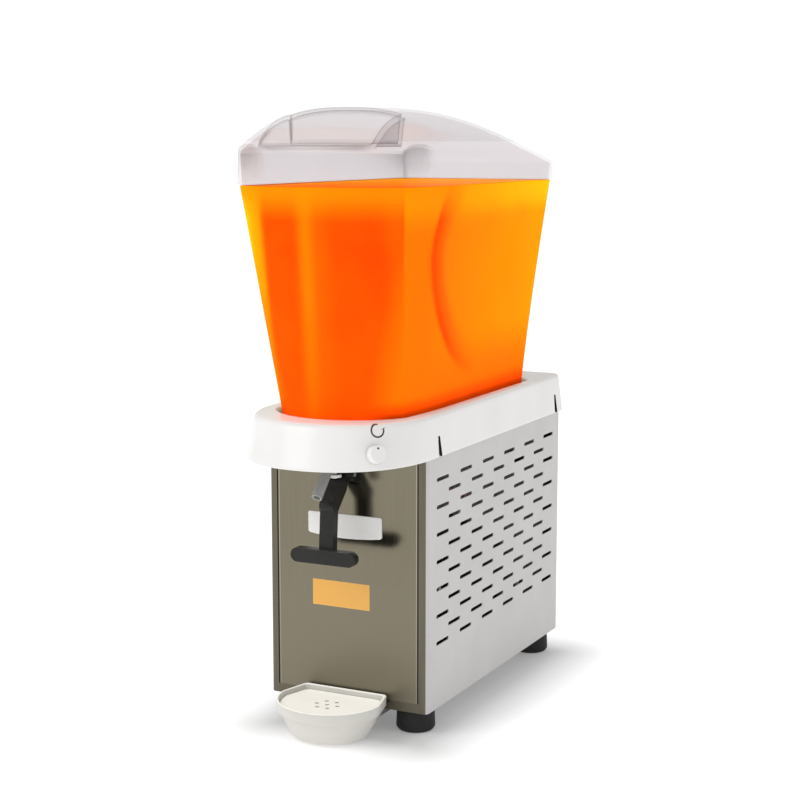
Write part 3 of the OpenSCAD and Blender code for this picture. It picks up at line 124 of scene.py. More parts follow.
def add_node(tree, kind, **values):
    """A new node with its properties and its inputs set in one call."""
    node = tree.nodes.new(kind)
    for key, value in values.items():
        if hasattr(node, key):
            setattr(node, key, value)
        else:
            fill(tree, node, **{key: value})
    return node


def maths(tree, operation, *values, kind="ShaderNodeMath", out="Value", **settings):
    """The result of one Math node, whose values are sockets or numbers."""
    node = add_node(tree, kind, operation=operation, **settings)
    for socket, value in zip(node.inputs, values):
        feed(tree, socket, value)
    return node.outputs[out]


def vector_maths(tree, operation, *values, out="Vector"):
    return maths(tree, operation, *values, kind="ShaderNodeVectorMath", out=out)


def axes(tree, vector):
    """The X, Y and Z of a vector, as three sockets."""
    parts = add_node(tree, "ShaderNodeSeparateXYZ", Vector=vector)
    return parts.outputs["X"], parts.outputs["Y"], parts.outputs["Z"]


def place_on(tree, kind="Object"):
    """The place of a point on its object, or its normal."""
    return add_node(tree, "ShaderNodeTexCoord").outputs[kind]


def true_normal(tree):
    return add_node(tree, "ShaderNodeNewGeometry").outputs["Normal"]


def noise(tree, vector, **values):
    return add_node(tree, "ShaderNodeTexNoise", Vector=vector, **values).outputs["Fac"]


def new_group(name, inputs, outputs):
    """An empty shader group with float inputs (name: default) and float outputs."""
    group = bpy.data.node_groups.new(name, "ShaderNodeTree")
    for label, default in inputs.items():
        socket = group.interface.new_socket(label, in_out="INPUT", socket_type="NodeSocketFloat")
        socket.default_value = default
    for label in outputs:
        group.interface.new_socket(label, in_out="OUTPUT", socket_type="NodeSocketFloat")
    return group, group.nodes.new("NodeGroupInput").outputs, group.nodes.new("NodeGroupOutput")


print("node helpers ready")


# %% Mottle: slow cloudy change with a fine grain on top
def make_mottle():
    scales = {"Cloud Scale": 18, "Grain Scale": 900}
    group, given, out = new_group("mottle", scales, ["Cloud", "Grain"])
    for label, detail in (("Cloud", 4), ("Grain", 2)):
        mask = noise(group, place_on(group), Scale=given[label + " Scale"], Detail=detail,
                     Roughness=0.55)
        fill(group, out, **{label: mask})
    return group


MOTTLE = make_mottle()
print("group", MOTTLE.name)


# %% Brushed lines: noise stretched along one direction
def make_brush():
    scales = {"Along " + axis: 1 for axis in "XYZ"}
    group, given, out = new_group("brushed_lines", scales, ["Lines"])
    stretch = add_node(group, "ShaderNodeCombineXYZ", X=given["Along X"], Y=given["Along Y"],
                       Z=given["Along Z"])
    scaled = vector_maths(group, "MULTIPLY", place_on(group), stretch.outputs["Vector"])
    fill(group, out, Lines=noise(group, scaled, Scale=1.0, Detail=3, Roughness=0.6))
    return group


BRUSH = make_brush()
print("group", BRUSH.name)


# %% Edge wear and painted edge shade: where a rounded normal leaves the true one
def make_edge_wear_and_shade():
    group, given, out = new_group("edge_wear_and_shade", {"Radius": 0.0015, "Gain": 3.0}, ["Edge"])
    rounded = add_node(group, "ShaderNodeBevel", samples=4, Radius=given["Radius"])
    dot = vector_maths(group, "DOT_PRODUCT", rounded.outputs["Normal"], true_normal(group),
                       out="Value")
    patch = noise(group, place_on(group), Scale=70.0, Detail=3)
    broken = maths(group, "MULTIPLY", maths(group, "SUBTRACT", 1.0, dot), patch)
    fill(group, out, Edge=maths(group, "MULTIPLY", broken, given["Gain"], use_clamp=True))
    return group


EDGE_WEAR_AND_SHADE = make_edge_wear_and_shade()
print("group", EDGE_WEAR_AND_SHADE.name)


# %% Dust: settles on faces that look upwards
def make_dust():
    group, given, out = new_group("settled_dust", {"Amount": 0.3}, ["Dust"])
    up = add_node(group, "ShaderNodeMapRange", Value=axes(group, true_normal(group))[2],
                  From_Min=0.4, From_Max=1.0)
    patch = noise(group, place_on(group), Scale=55.0, Detail=5)
    both = maths(group, "MULTIPLY", up.outputs["Result"], patch)
    fill(group, out, Dust=maths(group, "MULTIPLY", both, given["Amount"], use_clamp=True))
    return group


DUST = make_dust()
print("group", DUST.name)

# %% [markdown]
# ## The common recipe of a finish
# Most pieces here are moulded, painted, cast or drawn, and differ only in numbers: two close
# colours that the mottle blends, a paler or darker edge, a little dust, a range of roughness and
# the height of the grain. One function takes those numbers, so each finish below is a single call.


# %% Tools for finishes
def place(tree, group, **values):
    """The outputs of a shader group in a material, with its own input values."""
    node = tree.nodes.new("ShaderNodeGroup")
    node.node_tree = group
    return fill(tree, node, **values).outputs


def brushed(tree, along):
    """Brushed lines with a scale for each axis."""
    return place(tree, BRUSH, Along_X=along[0], Along_Y=along[1], Along_Z=along[2])["Lines"]


def blend(tree, factor, *colours):
    """Mix of two colours, each either a socket or a plain colour."""
    node = add_node(tree, "ShaderNodeMix", data_type="RGBA", Factor=factor)
    for socket, colour in zip((node.inputs[6], node.inputs[7]), colours):
        feed(tree, socket, colour if isinstance(colour, bpy.types.NodeSocket) else (*colour, 1))
    return node.outputs[2]


def spread(tree, value, low, high, start=0.3, end=0.7):
    """A mask stretched over a range of values."""
    return add_node(tree, "ShaderNodeMapRange", Value=value, From_Min=start, From_Max=end,
                    To_Min=low, To_Max=high).outputs["Result"]


def relief(tree, height, strength, depth):
    """The normal of a fine relief, with its depth in millimetres."""
    return add_node(tree, "ShaderNodeBump", Height=height, Strength=strength,
                    Distance=depth * MM).outputs["Normal"]


def blank(name):
    """A material with an empty tree, its Principled shader and its output."""
    material = bpy.data.materials.new(name)
    material.use_nodes = True
    tree = material.node_tree
    tree.nodes.clear()
    shader = tree.nodes.new("ShaderNodeBsdfPrincipled")
    out = add_node(tree, "ShaderNodeOutputMaterial", Surface=shader.outputs["BSDF"])
    return material, tree, shader, out


print("finish tools ready")

# %% Finish maker
DUST_COLOUR, GRAIN_DEPTH, PAINTED_LIGHT_START, PAINTED_LIGHT_FULL = (0.62, 0.6, 0.56), 0.5, 0.3, 0.9


def finish(name, colours, rough, edge_colour, cloud=18, grain=900, bump=0.02, metal=0.0,
           wear=1.5, dust=0.15, coat=0.0, gloss=0.5, brush=None, glow=None):
    """A finish of two colours and a roughness range, with wear, dust, grain and painted light on
    top.
    """
    material, tree, shader, _ = blank(name)
    mottle = place(tree, MOTTLE, Cloud_Scale=cloud, Grain_Scale=grain)
    height = brushed(tree, brush) if brush else mottle["Grain"]
    colour = blend(tree, spread(tree, height if brush else mottle["Cloud"], 0, 1), *colours)
    colour = blend(tree, place(tree, EDGE_WEAR_AND_SHADE, Gain=wear)["Edge"], colour, edge_colour)
    colour = blend(tree, place(tree, DUST, Amount=dust)["Dust"], colour, DUST_COLOUR)
    fill(tree, shader, Base_Color=colour, Roughness=spread(tree, height, *rough), Metallic=metal,
         Coat_Weight=coat, Specular_IOR_Level=gloss, Normal=relief(tree, height, bump, GRAIN_DEPTH))
    # Painted light: faces that look upwards emit light, standing in for light that falls on them
    # from above.
    if glow:
        upward = spread(tree, axes(tree, true_normal(tree))[2], 0, 1, PAINTED_LIGHT_START, PAINTED_LIGHT_FULL)
        fill(tree, shader, Emission_Color=blend(tree, upward, (0, 0, 0), glow),
             Emission_Strength=1.0)
    return material


print("finish maker ready")

# %% [markdown]
# ## Finishes of the plain pieces
# The record names a slot for every piece: white and ivory plastic, black rubber, zinc-coated steel
# and so on. One call fills each of those slots, with colours judged against the picture and
# roughness by how sharp its reflections are.

# %% Plain finishes
FINISH = {}


def add_finish(name, *values, **more):
    FINISH[name] = finish(name, *values, **more)


add_finish("white_plastic", [(0.80, 0.785, 0.77), (0.84, 0.825, 0.81)], (0.28, 0.36),
           (0.88, 0.87, 0.85), bump=0.015, dust=0.05, coat=0.1)
# The ivory's upward faces carry painted light.
add_finish("ivory_plastic", [(0.60, 0.585, 0.545), (0.64, 0.625, 0.58)], (0.3, 0.4),
           (0.88, 0.86, 0.80), bump=0.02, dust=0.05, glow=(0.47, 0.455, 0.415))
add_finish("black_plastic", [(0.008, 0.0075, 0.007), (0.015, 0.014, 0.013)], (0.32, 0.45),
           (0.07, 0.068, 0.065), bump=0.05, dust=0.06, gloss=0.3)
add_finish("grey_plastic", [(0.24, 0.24, 0.23), (0.3, 0.3, 0.29)], (0.35, 0.5),
           (0.5, 0.5, 0.48), bump=0.04)
add_finish("red_plastic", [(0.5, 0.02, 0.015), (0.6, 0.03, 0.02)], (0.3, 0.4),
           (0.75, 0.2, 0.15), bump=0.03)
add_finish("black_rubber", [(0.01, 0.01, 0.0105), (0.02, 0.0195, 0.019)], (0.55, 0.75),
           (0.06, 0.06, 0.06), bump=0.1, dust=0.15, gloss=0.3)
add_finish("zinc", [(0.52, 0.53, 0.54), (0.66, 0.66, 0.65)], (0.3, 0.5),
           (0.8, 0.8, 0.8), cloud=60, metal=1.0, bump=0.03)
add_finish("dome_steel", [(0.55, 0.54, 0.52), (0.66, 0.65, 0.63)], (0.2, 0.34),
           (0.8, 0.8, 0.78), metal=1.0, bump=0.03, brush=(30, 30, 2500))
add_finish("copper", [(0.62, 0.28, 0.16), (0.74, 0.38, 0.24)], (0.25, 0.45),
           (0.85, 0.5, 0.35), cloud=90, metal=1.0, bump=0.03)
add_finish("foam", [(0.5, 0.46, 0.36), (0.6, 0.56, 0.46)], (0.85, 0.95),
           (0.66, 0.62, 0.52), grain=500, bump=0.35)
add_finish("machine_black", [(0.012, 0.012, 0.013), (0.026, 0.026, 0.027)], (0.3, 0.5),
           (0.12, 0.12, 0.12), bump=0.08, dust=0.3)
add_finish("fin_metal", [(0.5, 0.51, 0.52), (0.62, 0.62, 0.62)], (0.35, 0.5),
           (0.75, 0.75, 0.75), metal=1.0, bump=0.03, brush=(4000, 40, 40))
print("plain finishes:", ", ".join(FINISH))

# %% [markdown]
# ## Brushed steel and painted side panels
# The front panel is stainless steel with upright brush lines, and its brown grey colour is a
# painted reflection of a warm dark room. Towards the tray it is rougher and painted lighter, a
# painted light that evens out the dark reflection of the tray, and its edge folds carry a painted
# highlight. The side panels are pale grey paint on steel, but their narrow front flanges are bare
# steel like the front, with the same painted reflection. A mask from the place along the depth axis
# tells the two apart on one sheet.

# %% Bare steel
# The steel colours are a painted reflection of a warm dark room.
STEEL_REFLECTION_DARK, STEEL_REFLECTION_LIGHT = (0.16, 0.143, 0.103), (0.188, 0.169, 0.124)
STEEL_LOW_PAINTED_LIGHT, FOLD_PAINTED_HIGHLIGHT = (0.215, 0.193, 0.142), (0.3, 0.275, 0.215)
BRUSH_LINES, FOLD_W, FOLD_SOFT = (2600, 60, 18), 1.5, 0.3
DULL_LOW, DULL_HIGH, DULL_ROUGH = 60, 220, 0.3


def recipe(material):
    """The tree and shader of a finish, with the sockets of its colour and roughness."""
    tree = material.node_tree
    shader = next(n for n in tree.nodes if n.type == "BSDF_PRINCIPLED")
    colour, rough = (shader.inputs[key].links[0] for key in ("Base Color", "Roughness"))
    return tree, shader, colour.from_socket, rough.from_socket


def bare_steel():
    material = finish("stainless", [STEEL_REFLECTION_DARK, STEEL_REFLECTION_LIGHT], (0.13, 0.2), (0.5, 0.48, 0.42),
                      metal=1.0, bump=0.03, dust=0.0, brush=BRUSH_LINES)
    tree, shader, colour, rough = recipe(material)
    x, _, z = axes(tree, place_on(tree))
    low_down = spread(tree, z, 1, 0, DULL_LOW * MM, DULL_HIGH * MM)
    scuffed = maths(tree, "MULTIPLY_ADD", low_down, DULL_ROUGH, rough)
    # Lower down the colour is painted lighter: painted light against the tray's dark reflection.
    lightened_low = blend(tree, low_down, colour, STEEL_LOW_PAINTED_LIGHT)
    # Near the side edges the colour is painted lighter: a painted highlight on the edge folds.
    fold_x = edge("front_panel", 1, 0) - FOLD_W
    aside = maths(tree, "ABSOLUTE", x)
    fold_highlight = spread(tree, aside, 0, 1, fold_x * MM, (fold_x + FOLD_SOFT) * MM)
    fill(tree, shader, Base_Color=blend(tree, fold_highlight, lightened_low, FOLD_PAINTED_HIGHLIGHT), Roughness=scuffed)
    return material


FINISH["stainless"] = bare_steel()
print("steel front ready")

# %% Painted sides
FLANGE_REFLECTION_DARK, FLANGE_DEEP = (0.125, 0.113, 0.09), 1.2


def painted_panel():
    material = finish("panel_grey", [(0.53, 0.515, 0.51), (0.57, 0.555, 0.55)], (0.34, 0.46),
                      (0.66, 0.65, 0.64), bump=0.04, dust=0.05)
    tree, shader, paint, _ = recipe(material)
    depth = axes(tree, place_on(tree))[1]
    bare = maths(tree, "LESS_THAN", depth, (front_y + FLANGE_DEEP) * MM)
    lines = spread(tree, brushed(tree, BRUSH_LINES), 0, 1)
    # The bare flanges take the same painted reflection as the front.
    steel = blend(tree, lines, FLANGE_REFLECTION_DARK, STEEL_REFLECTION_DARK)
    fill(tree, shader, Base_Color=blend(tree, bare, paint, steel), Metallic=bare)
    return material


FINISH["panel_grey"] = painted_panel()
print("painted sides ready")

# %% [markdown]
# ## Clear plastics
# The bowl and lid are clear moulded plastic. A Principled shader with full transmission shows what
# is behind, and Layer Weight greys it where the sheet is seen edge on. The bend of the view is kept
# out, because thin walls hardly shift it and a strong bend fills them with black edges. Instead the
# lid's mesh carries two masks, one that paints shade on its folds and one that paints the pocket's
# walls lighter as painted light, and the edge mask paints shade along all edges. A transparent
# shader for shadow rays lets light reach the juice.

# %% Clear plastic
# The first colour is painted shade on the folds, the second painted light on the pocket walls.
FOLD_PAINTED_SHADE, WALL_PAINTED_LIGHT = (0.36, 0.33, 0.33), (0.86, 0.845, 0.85)
PALER, EDGE_SHADE, NO_BEND = 1.02, 0.75, 1.0


def mesh_mask(tree, name):
    return add_node(tree, "ShaderNodeAttribute", attribute_name=name).outputs["Fac"]


def clear_plastic(name, tint, rim_tint, rough, coat, see_through):
    """Clear moulding: tinted through its face, greyer where it is seen edge on, glossy outside,
    with painted shade on edges and folds and painted light on the pocket walls.
    """
    material, tree, shader, out = blank(name)
    cloud = place(tree, MOTTLE, Cloud_Scale=9, Grain_Scale=240)["Cloud"]
    face = blend(tree, cloud, tint, [min(1, c * PALER) for c in tint])
    # Painted light on the pocket walls, then painted shade along the edges and on the folds.
    face = blend(tree, mesh_mask(tree, "wall"), face, WALL_PAINTED_LIGHT)
    painted_edge_shade = place(tree, EDGE_WEAR_AND_SHADE, Radius=0.003, Gain=2.5)["Edge"]
    face = blend(tree, painted_edge_shade, face, [EDGE_SHADE * c for c in rim_tint])
    face = blend(tree, mesh_mask(tree, "fold_shade"), face, FOLD_PAINTED_SHADE)
    facing = add_node(tree, "ShaderNodeLayerWeight", Blend=0.25).outputs["Facing"]
    fill(tree, shader, Base_Color=blend(tree, facing, face, rim_tint),
         Roughness=spread(tree, cloud, *rough), Normal=relief(tree, cloud, 0.02, 1),
         Transmission_Weight=1.0, IOR=NO_BEND, Coat_Weight=coat, Coat_Roughness=0.04)
    through = add_node(tree, "ShaderNodeBsdfTransparent", Color=(*see_through, 1))
    rays = tree.nodes.new("ShaderNodeLightPath")
    mix_rays = add_node(tree, "ShaderNodeMixShader", Fac=rays.outputs["Is Shadow Ray"])
    feed(tree, mix_rays.inputs[1], shader.outputs["BSDF"])
    feed(tree, mix_rays.inputs[2], through.outputs["BSDF"])
    fill(tree, out, Surface=mix_rays.outputs["Shader"])
    return material


FINISH["clear_bowl"] = clear_plastic("clear_bowl", (0.99, 0.98, 0.96), (0.97, 0.93, 0.86),
                                     (0.01, 0.03), 0.02, (0.98, 0.97, 0.95))
FINISH["clear_lid"] = clear_plastic("clear_lid", (0.775, 0.75, 0.76), (0.85, 0.83, 0.84),
                                    (0.02, 0.05), 0.24, (0.95, 0.94, 0.945))
print("clear plastics ready")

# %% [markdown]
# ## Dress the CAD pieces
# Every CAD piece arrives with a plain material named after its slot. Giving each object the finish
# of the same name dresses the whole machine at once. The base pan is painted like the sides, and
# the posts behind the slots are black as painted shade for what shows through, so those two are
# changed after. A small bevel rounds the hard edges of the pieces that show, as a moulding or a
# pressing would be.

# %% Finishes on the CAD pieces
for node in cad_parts.values():
    for part_slot in node.material_slots:
        part_slot.material = FINISH[part_slot.material.name.split(".")[0]]
# The frame posts get black, a painted shade where they show from outside.
for name, slot in (("base_pan", "panel_grey"), ("frame_posts", "machine_black")):
    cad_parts[name].material_slots[0].material = FINISH[slot]
print("dressed", len(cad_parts), "pieces")

# %% Soft edges
SOFT_EDGES = {"tap_lever": 1.2, "control_knob": 0.8, "outlet_spout": 0.5, "feet": 1.5,
              "drip_plate": 0.8, "valve_body": 0.8, "cable_inlet": 0.6, "switch_housing": 0.5,
              "switch_rocker": 0.4}
WELD_GAP, HARD_ANGLE = 0.01, 35
for name, width in SOFT_EDGES.items():
    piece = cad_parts[name]
    piece.modifiers.new("weld", "WELD").merge_threshold = WELD_GAP * MM
    bevel = piece.modifiers.new("soft_edge", "BEVEL")
    bevel.width, bevel.segments = width * MM, 3
    bevel.limit_method, bevel.angle_limit = "ANGLE", math.radians(HARD_ANGLE)
    bevel.harden_normals = True
print("soft edges on", ", ".join(SOFT_EDGES))

# %% [markdown]
# ## Tools for smooth shells
# The cover, bowl, lid and tray are thin moulded shells, and each is a stack of closed rings: walk
# up the outside, over the rim and down the inside. Skinning the rings with quads gives clean meshes
# that shade smoothly, which boolean cuts of blocks do not.


# %% Mesh tools
def mesh_piece(name, points, faces):
    mesh = bpy.data.meshes.new(name)
    mesh.from_pydata(points, [], faces)
    mesh.validate()
    mesh.update()
    piece = bpy.data.objects.new(name, mesh)
    scene.collection.objects.link(piece)
    return piece


def in_metres(points):
    return [tuple(c * MM for c in point) for point in points]


def skin(name, rings, closed=False, caps=False):
    """A mesh skinned over rings of equal length, given in millimetres."""
    count = len(rings[0])
    faces = []
    for row in range(len(rings) if closed else len(rings) - 1):
        low, high = row * count, (row + 1) % len(rings) * count
        for i in range(count):
            j = (i + 1) % count
            faces.append((low + i, low + j, high + j, high + i))
    if caps:
        faces.append(tuple(reversed(range(count))))
        faces.append(tuple(range((len(rings) - 1) * count, len(rings) * count)))
    return mesh_piece(name, in_metres(p for ring in rings for p in ring), faces)


def smooth(piece, angle=32):
    """Smooth shading that stays sharp where faces meet at more than an angle."""
    piece.data.polygons.foreach_set("use_smooth", [True] * len(piece.data.polygons))
    piece.data.set_sharp_from_angle(angle=math.radians(angle))


def attach(piece, body, look):
    """Finish and body of a new piece."""
    piece.data.materials.clear()
    piece.data.materials.append(FINISH[look])
    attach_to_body(piece, body)
    print(piece.name, len(piece.data.polygons), "faces on", body)


def stand_in(piece, body, slot, replaced):
    """Attaches a smooth shell that takes the place of a CAD piece."""
    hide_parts(replaced)
    attach(piece, body, slot)


def carve(piece, operation, *others):
    """Takes other pieces out of a piece, or joins them to it, and throws them away."""
    for other in others:
        step = piece.modifiers.new("carve", "BOOLEAN")
        step.operation, step.solver, step.object = operation, "EXACT", other
    graph = bpy.context.evaluated_depsgraph_get()
    done = bpy.data.meshes.new_from_object(piece.evaluated_get(graph))
    piece.modifiers.clear()
    piece.data = done
    for other in others:
        bpy.data.objects.remove(other)


print("mesh tools ready")


# %% Ring tools
def mix(low, high, share):
    return low + (high - low) * share


def steps(count, low=0.0, high=1.0):
    return [mix(low, high, i / (count - 1)) for i in range(count)]


def smoothstep(value):
    value = min(1, max(0, value))
    return value * value * (3 - 2 * value)


def quarter(count):
    """The sine and cosine of equal turns over a quarter of a circle."""
    return [(math.sin(a), math.cos(a)) for a in map(math.radians, steps(count, 0, 90))]


def rear_corner(half, back_y, radius, count):
    """A round corner at the right-hand rear of an outline."""
    return [(half - radius * (1 - c), back_y - radius * (1 - s)) for s, c in quarter(count)]


def mirrored(right):
    """The left-hand part of an outline, walked from its end to its start."""
    return [(-x, y) for x, y in reversed(right)]


def at_height(outline, z):
    return [(x, y, z) for x, y in outline]


print("ring tools ready")

# %% [markdown]
# ## Outline of the bowl
# Seen from above the bowl has a shallow bowed front, a soft crease at each front corner, straight
# sides and rounded rear corners, and it flares from foot to rim. One function gives that outline at
# any height and inset, because the bowl, the juice in it, the well under it and the lid above it
# all follow it. Each side also has a shallow hand scoop.

# %% Bowl outline
# Pairs are at the foot and at the rim: how far the crease stands in from the side, how far it and
# the nose stand ahead of the panel, where the flank turns straight, and the gap at the rear.
CREASE_IN, CREASE_AHEAD, NOSE_AHEAD = (7, 6), (12, 58), (60, 84)
FLANK_BEHIND, REAR_IN = (90, 20), (63, 37)
BOWL_WALL, CORNER_R, LEAST_R, FLARE_POWER, CREASE_PULL = 4, 25, 4, 1.2, (0.8, 0.6)
SCOOP_DEEP, SCOOP_BELOW, SCOOP_TALL, SCOOP_LONG = 5.5, 21, 200, 114
SCOOP_BEHIND, SCOOP_EASE, SCOOP_SOFT = 140, 60, 0.35
foot_half, rim_half = 83, edge("bowl", 1, 0)
bowl_h = rim_z - seat_z


def scoop(y, z):
    """Depth of the hand scoop at a place on the bowl's side."""
    along, down = y - front_y - SCOOP_BEHIND, rim_z - SCOOP_BELOW - z
    inside = 1 - math.hypot(along / SCOOP_LONG, down / SCOOP_TALL)
    return SCOOP_DEEP * smoothstep(down / SCOOP_EASE) * smoothstep(inside / SCOOP_SOFT)


def bowl_outline(t, inset, z=None):
    """Outline of the bowl at a share t of its height, counter-clockwise from the left crease."""
    flare = t ** FLARE_POWER
    half = mix(foot_half, rim_half, flare) - inset
    crease_x = mix(foot_half - CREASE_IN[0], rim_half - CREASE_IN[1], t) - CREASE_PULL[0] * inset
    crease_y = front_y - mix(*CREASE_AHEAD, t) + CREASE_PULL[1] * inset
    nose_y = front_y - mix(*NOSE_AHEAD, t) + inset
    flank_y = front_y + mix(*FLANK_BEHIND, t)
    back_y, corner = rear_y - mix(*REAR_IN, flare) - inset, max(LEAST_R, CORNER_R - inset)
    rise = crease_y - nose_y
    radius = (crease_x ** 2 + rise ** 2) / (2 * rise)
    turn = math.asin(crease_x / radius)

    def inward(y):
        return 0 if z is None else scoop(y, z)

    front = [(radius * math.sin(a), nose_y + radius * (1 - math.cos(a)))
             for a in steps(41, -turn, turn)]
    flank = []
    for u in steps(25)[1:]:
        y = mix(crease_y, flank_y, u)
        flank.append((half - (half - crease_x) * (1 - u) ** 2 - inward(y), y))
    flank += [(half - inward(y), y) for y in steps(37, flank_y, back_y - corner)[1:]]
    flank += rear_corner(half, back_y, corner, 11)[1:]
    back = [(x, back_y) for x in steps(15, half - corner, corner - half)[1:-1]]
    return front + flank + back + mirrored(flank)


print("bowl outline has", len(bowl_outline(0.5, 0)), "points")

# %% [markdown]
# ## Top cover
# The cover is one white moulding with a bowed nose, leaning sides, a round upper edge and a well
# that the bowl stands in. Its rings share the directions of rays from the dome's axis, so that the
# outer skirt, the well and the round hole in the floor can be skinned as one closed shell.

# %% Cover outline
LEAN_Z, COVER_WALL, EDGE_R, COVER_CORNER = 361, 3, 5, 10
BOW_Y, BOW_REACH, NOSE_POWER = front_y + 5, 124, 2.2
SKIRT_OUT, NOSE_LEAN, REAR_LEAN = 4.5, 17, 2.25


def bulge(value):
    return math.copysign(abs(value) ** (2 / NOSE_POWER), value)


def cover_outline(half, reach, back_y, corner):
    nose = [(half * bulge(math.cos(a)), BOW_Y + reach * bulge(math.sin(a)))
            for a in steps(97, math.pi, 2 * math.pi)]
    right = [(half, y) for y in steps(40, BOW_Y, back_y - corner)[1:]]
    right += rear_corner(half, back_y, corner, 9)[1:]
    back = [(x, back_y) for x in steps(25, half - corner, corner - half)[1:-1]]
    return nose + right + back + mirrored(right)


def lean(z):
    """Share of the way up the leaning side."""
    return (z - skirt_z) / (LEAN_Z - skirt_z)


def cover_reach(z):
    """Reach of the nose at a height."""
    return BOW_REACH - NOSE_LEAN * lean(z)


def cover_ring(z, inset, height=None):
    """Ring of the cover's outside, leaning in with height and pulled in by an inset."""
    half = side_x + SKIRT_OUT * (1 - lean(z)) - inset
    back_y = rear_y + SKIRT_OUT - REAR_LEAN * lean(z) - inset
    outline = cover_outline(half, cover_reach(z) - inset, back_y, max(1, COVER_CORNER - inset))
    return at_height(outline, z if height is None else height)


cover_rays = [math.atan2(y - dome_y, x) for x, y, _ in cover_ring(skirt_z, 0)]


def along_rays(outline):
    """The points where the cover's rays cross another outline."""
    found = []
    for ray in cover_rays:
        dx, dy = math.cos(ray), math.sin(ray)
        for (ax, ay), (bx, by) in zip(outline, outline[1:] + outline[:1]):
            one, two = dx * (ay - dome_y) - dy * ax, dx * (by - dome_y) - dy * bx
            if one <= 0 < two or two <= 0 < one:
                share = one / (one - two)
                x, y = mix(ax, bx, share), mix(ay, by, share)
                if x * dx + (y - dome_y) * dy > 0:
                    found.append((x, y))
                    break
    return found


def dome_circle(turns, radius, z):
    """A circle round the dome's axis with a point in each of the given directions."""
    return [(radius * math.cos(a), dome_y + radius * math.sin(a), z) for a in turns]


print("cover ring has", len(cover_rays), "points")

# %% Cover shell
WELL_GAP, WELL_DEPTH, WELL_LIP, WELL_BEND, WELL_EASE = 3, 20, 2, 8, 1
LIP_R, SIDE_START, PANEL_GAP, DOME_HOLE = 0.8, 4, 0.6, 64


def well_ring(grow, z):
    return at_height(along_rays(bowl_outline(WELL_DEPTH / bowl_h, -grow)), z)


rings = [cover_ring(skirt_z, COVER_WALL), cover_ring(skirt_z, LIP_R)]
rings += [cover_ring(skirt_z + LIP_R * (1 - c), LIP_R * (1 - s)) for s, c in quarter(4)[1:]]
rings += [cover_ring(z, 0) for z in steps(10, skirt_z + SIDE_START, LEAN_Z)]
rings += [cover_ring(LEAN_Z + EDGE_R * s, EDGE_R * (1 - c)) for s, c in quarter(9)[1:]]
rings += [well_ring(WELL_GAP + WELL_LIP * (1 - s), cover_top - WELL_LIP * (1 - c))
          for s, c in quarter(4)]
rings += [well_ring(WELL_GAP, z) for z in (cover_top - WELL_BEND, seat_z + WELL_EASE)]
rings.append(well_ring(WELL_GAP - WELL_EASE, seat_z))
rings += [dome_circle(cover_rays, DOME_HOLE, z) for z in (seat_z, deck_top)]
rings += [well_ring(WELL_GAP + COVER_WALL, z) for z in (deck_top, cover_top - COVER_WALL)]
rings.append(cover_ring(LEAN_Z, COVER_WALL, cover_top - COVER_WALL))
inside = cover_outline(side_x + PANEL_GAP, cover_reach(deck_top) - COVER_WALL,
                       rear_y + PANEL_GAP, COVER_CORNER - COVER_WALL)
rings.append(at_height(inside, deck_top))
cover = skin("cover_shell", rings, closed=True)
print("cover has", len(rings), "rings")

# %% Holes and slits in the cover
NECK_HOLE, NECK_PAST, ROD_SIDES = 15.3, 2, 50
KNOB_HOLE, KNOB_HOLE_IN, KNOB_HOLE_OUT, KNOB_HOLE_SIDES = 5.3, 12, 8, 48
SLIT_AT, SLIT_W, SLIT_TOP_W, SLIT_TOP, SLIT_REACH, SLIT_PAST = 175, 9, 4.95, 341, 20, 1
mid_y = (front_y + rear_y) / 2
knob_at = Vector((0.0768788, -0.2237121, 0.335)) / MM
knob_way = Vector((0.733663, -0.636609, 0.237630)).normalized()


def rod(start, end, radius, count=ROD_SIDES):
    """A round cutter between two points in millimetres."""
    start, end = Vector(start), Vector(end)
    turn = (end - start).to_track_quat("Z", "Y")
    loop = [turn @ Vector((math.cos(a), math.sin(a), 0)) * radius
            for a in steps(count + 1, 0, 2 * math.pi)[:-1]]
    return skin("cutter", [[start + p for p in loop], [end + p for p in loop]], caps=True)


knob_in, knob_out = knob_at - knob_way * KNOB_HOLE_IN, knob_at + knob_way * KNOB_HOLE_OUT
cutters = [rod(knob_in, knob_out, KNOB_HOLE, KNOB_HOLE_SIDES),
           rod((0, tap_y, deck_top - NECK_PAST), (0, tap_y, seat_z + NECK_PAST), NECK_HOLE)]
for at in (mid_y - SLIT_AT, mid_y + SLIT_AT):
    shape = [(at + SLIT_W / 2, skirt_z - SLIT_PAST), (at + SLIT_TOP_W / 2, SLIT_TOP),
             (at - SLIT_TOP_W / 2, SLIT_TOP), (at - SLIT_W / 2, skirt_z - SLIT_PAST)]
    ends = [[(x, y, z) for y, z in shape] for x in (-side_x - SLIT_REACH, side_x + SLIT_REACH)]
    cutters.append(skin("cutter", ends, caps=True))
carve(cover, "DIFFERENCE", *cutters)
smooth(cover)
stand_in(cover, "cabinet", "white_plastic", "top_cover")

# %% [markdown]
# ## Painted shade in the slits
# Each slit opens into the unlit cabinet, so it reads as a black line in the white skirt. The slit
# could get an inlay, but a second material on the faces that line it keeps one clean mesh; that
# black plastic on the walls is painted shade.

# %% Painted shade on the walls of the slits
NEAR_SLIT, BESIDE, WALL_FACING = 0.1, 1, 0.6
